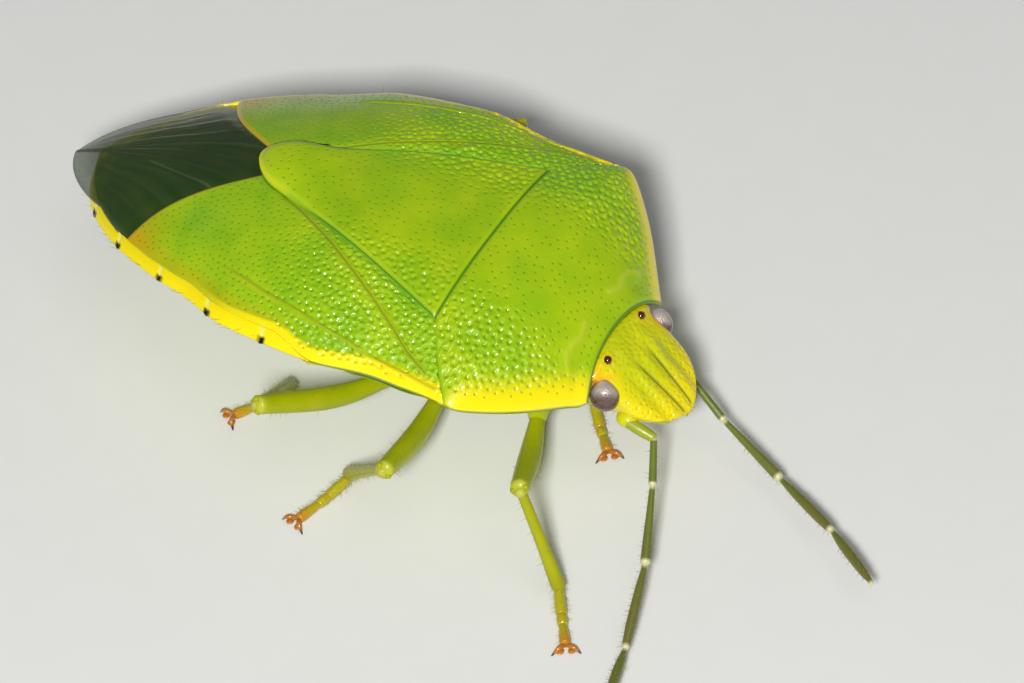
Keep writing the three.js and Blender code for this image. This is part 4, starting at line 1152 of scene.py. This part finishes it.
def leg(name, joints, seed):
    hip, knee, ankle, toe = (np.array(p, float) for p in joints)
    form = Form()
    limb(form, [hip * (0.72, 1, 1) + (0, 0.1, 0.75), hip + (0, 0, 0.04)], COXA_RADII,
         rings=16, cap=0.6, joint=lambda t: 0.5 * ramp(0.9, 1, t))
    middle = lerp(hip, knee, 0.45) - (0, 0, FEMUR_SAG)
    limb(form, [hip, middle, knee], FEMUR_RADII, rings=40, cap=0.45,
         hairy=lambda t: 0.15 * ramp(0.3, 0.6, t), joint=lambda t: 0.3 * ramp(0.96, 1, t))
    thigh = (knee - hip) / np.linalg.norm(knee - hip)
    shin = (ankle - knee) / np.linalg.norm(ankle - knee)
    hinge = np.cross(thigh, shin)
    hinge /= np.linalg.norm(hinge)
    for side in (1, -1):
        ball(form, knee + hinge * side * 0.14 + thigh * 0.02, (0.085,) * 3, 20, 12, tip=0.4)
    ball(form, knee + thigh * 0.05 + shin * 0.08, (0.135,) * 3, 24, 14, joint=0.6)
    bend = lerp(knee, ankle, 0.12) + (0, 0, 0.03)
    limb(form, [knee + shin * 0.1, bend, ankle], TIBIA_RADII, rings=36, cap=0.35, island=0.3,
         hairy=lambda t: 0.3 + 0.5 * t, joint=lambda t: ramp(0.05, 0, t),
         tip=lambda t: 0.4 + 0.3 * ramp(0.8, 1, t))
    skin = form.make(f"leg_{name}", LEG_CUTICLE)
    hairs_of(skin, f"leg_hairs_{name}", HAIR_CHITIN, "leg_olive", Spacing=0.1 * MM,
             Length=0.15 * MM, Thickness=0.036, Lean=0.7, Seed=seed)
    settle(skin, "leg_olive", f"femur_{name}", f"tibia_{name}")

    sole = np.array([0, 0, SOLE_Z])
    heel = ankle.copy()
    heel[2] = 0.3
    first = lerp(ankle, toe, 0.42) * (1, 1, 0) + sole * 1.2
    second = lerp(ankle, toe, 0.62) * (1, 1, 0) + sole
    end = toe * (1, 1, 0) + sole
    form = Form()
    limb(form, [heel, first], TARSUS_RADII[0], rings=18, cap=0.4, hairy=1,
         tip=lambda t: 0.4 * ramp(0.9, 1, t))
    limb(form, [first, second], TARSUS_RADII[1], rings=12, cap=0.4, island=0.3, hairy=1, tip=0.1)
    limb(form, [second, end], TARSUS_RADII[2], rings=18, cap=0.4, island=0.6, hairy=1,
         tip=lambda t: 0.15 + 0.65 * t * t)
    skin = form.make(f"foot_{name}", FOOT_CUTICLE)
    hairs_of(skin, f"foot_hairs_{name}", HAIR_CHITIN, "foot_orange", Spacing=0.07 * MM,
             Length=0.13 * MM, Thickness=0.05, Lean=0.9, Seed=seed + 1)
    settle(skin, "foot_orange", f"tarsus_{name}")

    way = (end - first) * (1, 1, 0)
    way /= np.linalg.norm(way)
    aside = np.array([-way[1], way[0], 0])
    form = Form()
    for side in (1, -1):
        root = end + way * 0.06 + aside * side * 0.05 + (0, 0, 0.01)
        arch = end + way * 0.19 + aside * side * 0.18 + (0, 0, 0.06)
        point = end + way * 0.23 + aside * side * 0.33 - (0, 0, 0.11)
        limb(form, [root, arch, point], CLAW_RADII, sides=16, rings=16, tip=lambda t: ramp(0.6, 0.9, t))
        pad = end + way * 0.17 + aside * side * 0.13 - (0, 0, 0.06)
        ball(form, pad, (0.1, 0.085, 0.035), 20, 12)
    settle(form.make(f"claws_{name}", CLAW_HORN), "foot_orange")


def feeler(name, joints, seed):
    form = Form()
    for i, radii in enumerate(FEELER_RADII):
        a, b = (np.array(p, float) for p in joints[i:i + 2])
        way = (b - a) / np.linalg.norm(b - a)
        start = a + way * (0.0 if i == 0 else 0.06)
        brown = min(i / 3, 1.0)
        limb(form, [start, b - way * 0.04], radii, sides=24, rings=26, island=0.2 * i,
             base=max(1 - i, 0), tip=lambda t, brown=brown: 0.9 * brown * (0.5 + 0.5 * t),
             joint=lambda t: ramp(0.03, 0.0, t) + ramp(0.97, 1.0, t), hairy=(0.1, 0.4, 0.8, 1, 1)[i])
        if i:
            ball(form, a, (0.062,) * 3, 20, 12, joint=1)
    skin = form.make(f"feeler_{name}", FEELER_CUTICLE)
    hairs_of(skin, f"feeler_bristles_{name}", BRISTLE_CHITIN, "feeler_olive", Spacing=0.085 * MM,
             Length=0.12 * MM, Thickness=0.05, Lean=0.45, Seed=seed)
    settle(skin, "feeler_olive", *[f"antenna_{name}_{part}" for part in FEELER_NAMES])


def beak():
    form = Form()
    joints = sweep(BEAK_LINE, 5)[0]
    for i, (a, b) in enumerate(zip(joints[:-1], joints[1:])):
        wide = 0.2 - 0.028 * i
        limb(form, [a, b], [wide * 0.8, wide, wide * 0.95, wide * 0.75], sides=24, rings=18, flat=0.8,
             tip=(lambda t: ramp(0.5, 1, t)) if i == 3 else 0)
    ball(form, (0, -4.25, 1.98), (0.24, 0.38, 0.36))
    settle(form.make("beak", BEAK_CUTICLE), "leg_olive", "rostrum")


# Studio: a pale floor, soft lights and the photo's viewing angle

def studio():
    right = np.cross((0, 0, 1), VIEW_BACK)
    right /= np.linalg.norm(right)
    up = np.cross(VIEW_BACK, right)
    rolled_right = math.cos(VIEW_ROLL) * right + math.sin(VIEW_ROLL) * up
    rolled_up = math.cos(VIEW_ROLL) * up - math.sin(VIEW_ROLL) * right
    eye = VIEW_PIVOT + VIEW_DISTANCE * VIEW_BACK
    aim = VIEW_PIVOT + VIEW_AIM[0] * rolled_right + VIEW_AIM[1] * rolled_up
    back = (eye - aim) / np.linalg.norm(eye - aim)
    side = np.cross(rolled_up, back)
    side /= np.linalg.norm(side)
    top = np.cross(back, side)
    camera = bpy.data.objects.new("camera", bpy.data.cameras.new("camera"))
    camera.data.sensor_width = SENSOR
    camera.data.lens = PIXELS_PER_MM * VIEW_DISTANCE * SENSOR / PICTURE_WIDTH
    camera.data.clip_start = 0.01
    camera.data.clip_end = 2.0
    place = (eye + SHIFT) * MM
    camera.matrix_world = Matrix([[side[i], top[i], back[i], place[i]] for i in range(3)]
                                 + [[0, 0, 0, 1]])
    bpy.context.scene.collection.objects.link(camera)
    bpy.context.scene.camera = camera

    floor_mesh = bpy.data.meshes.new("floor")
    corners = [(x * FLOOR_REACH, y * FLOOR_REACH, 0) for x, y in ((-1, -1), (1, -1), (1, 1), (-1, 1))]
    floor_mesh.from_pydata(corners, [], [(0, 1, 2, 3)])
    floor = bpy.data.objects.new("floor", floor_mesh)
    floor_mesh.materials.append(STUDIO_PAPER)
    bpy.context.scene.collection.objects.link(floor)

    for name, (place, size, watts) in LAMPS.items():
        lamp(name, place, size, watts)
    world = bpy.data.worlds.new("studio")
    world.use_nodes = True
    ambience = world.node_tree.nodes["Background"]
    ambience.inputs["Color"].default_value = paint("#E8ECF0")
    ambience.inputs["Strength"].default_value = ROOM_LIGHT
    bpy.context.scene.world = world
    bpy.context.scene.view_settings.view_transform = "Standard"


def lamp(name, place, size, watts):
    """A square soft light that faces the bug."""
    light = bpy.data.lights.new(name, "AREA")
    light.size = size * MM
    light.energy = watts
    holder = bpy.data.objects.new(name, light)
    holder.location = Vector(place) * MM
    toward = Vector((0, 0, 3 * MM)) - holder.location
    holder.rotation_euler = toward.to_track_quat("-Z", "Y").to_euler()
    bpy.context.scene.collection.objects.link(holder)


studio()
pronotum()
scutellum()
corium("left", 1, 21)
corium("right", -1, 23)
membrane("left", 1, 0.0)
membrane("right", -1, 0.06)
trunk_skin()
head()
eyes()
for order, (leg_name, leg_joints) in enumerate(LEGS.items()):
    leg(leg_name, leg_joints, 40 + 2 * order)
for order, (feeler_name, feeler_joints) in enumerate(FEELERS.items()):
    feeler(feeler_name, feeler_joints, 60 + order)
beak()
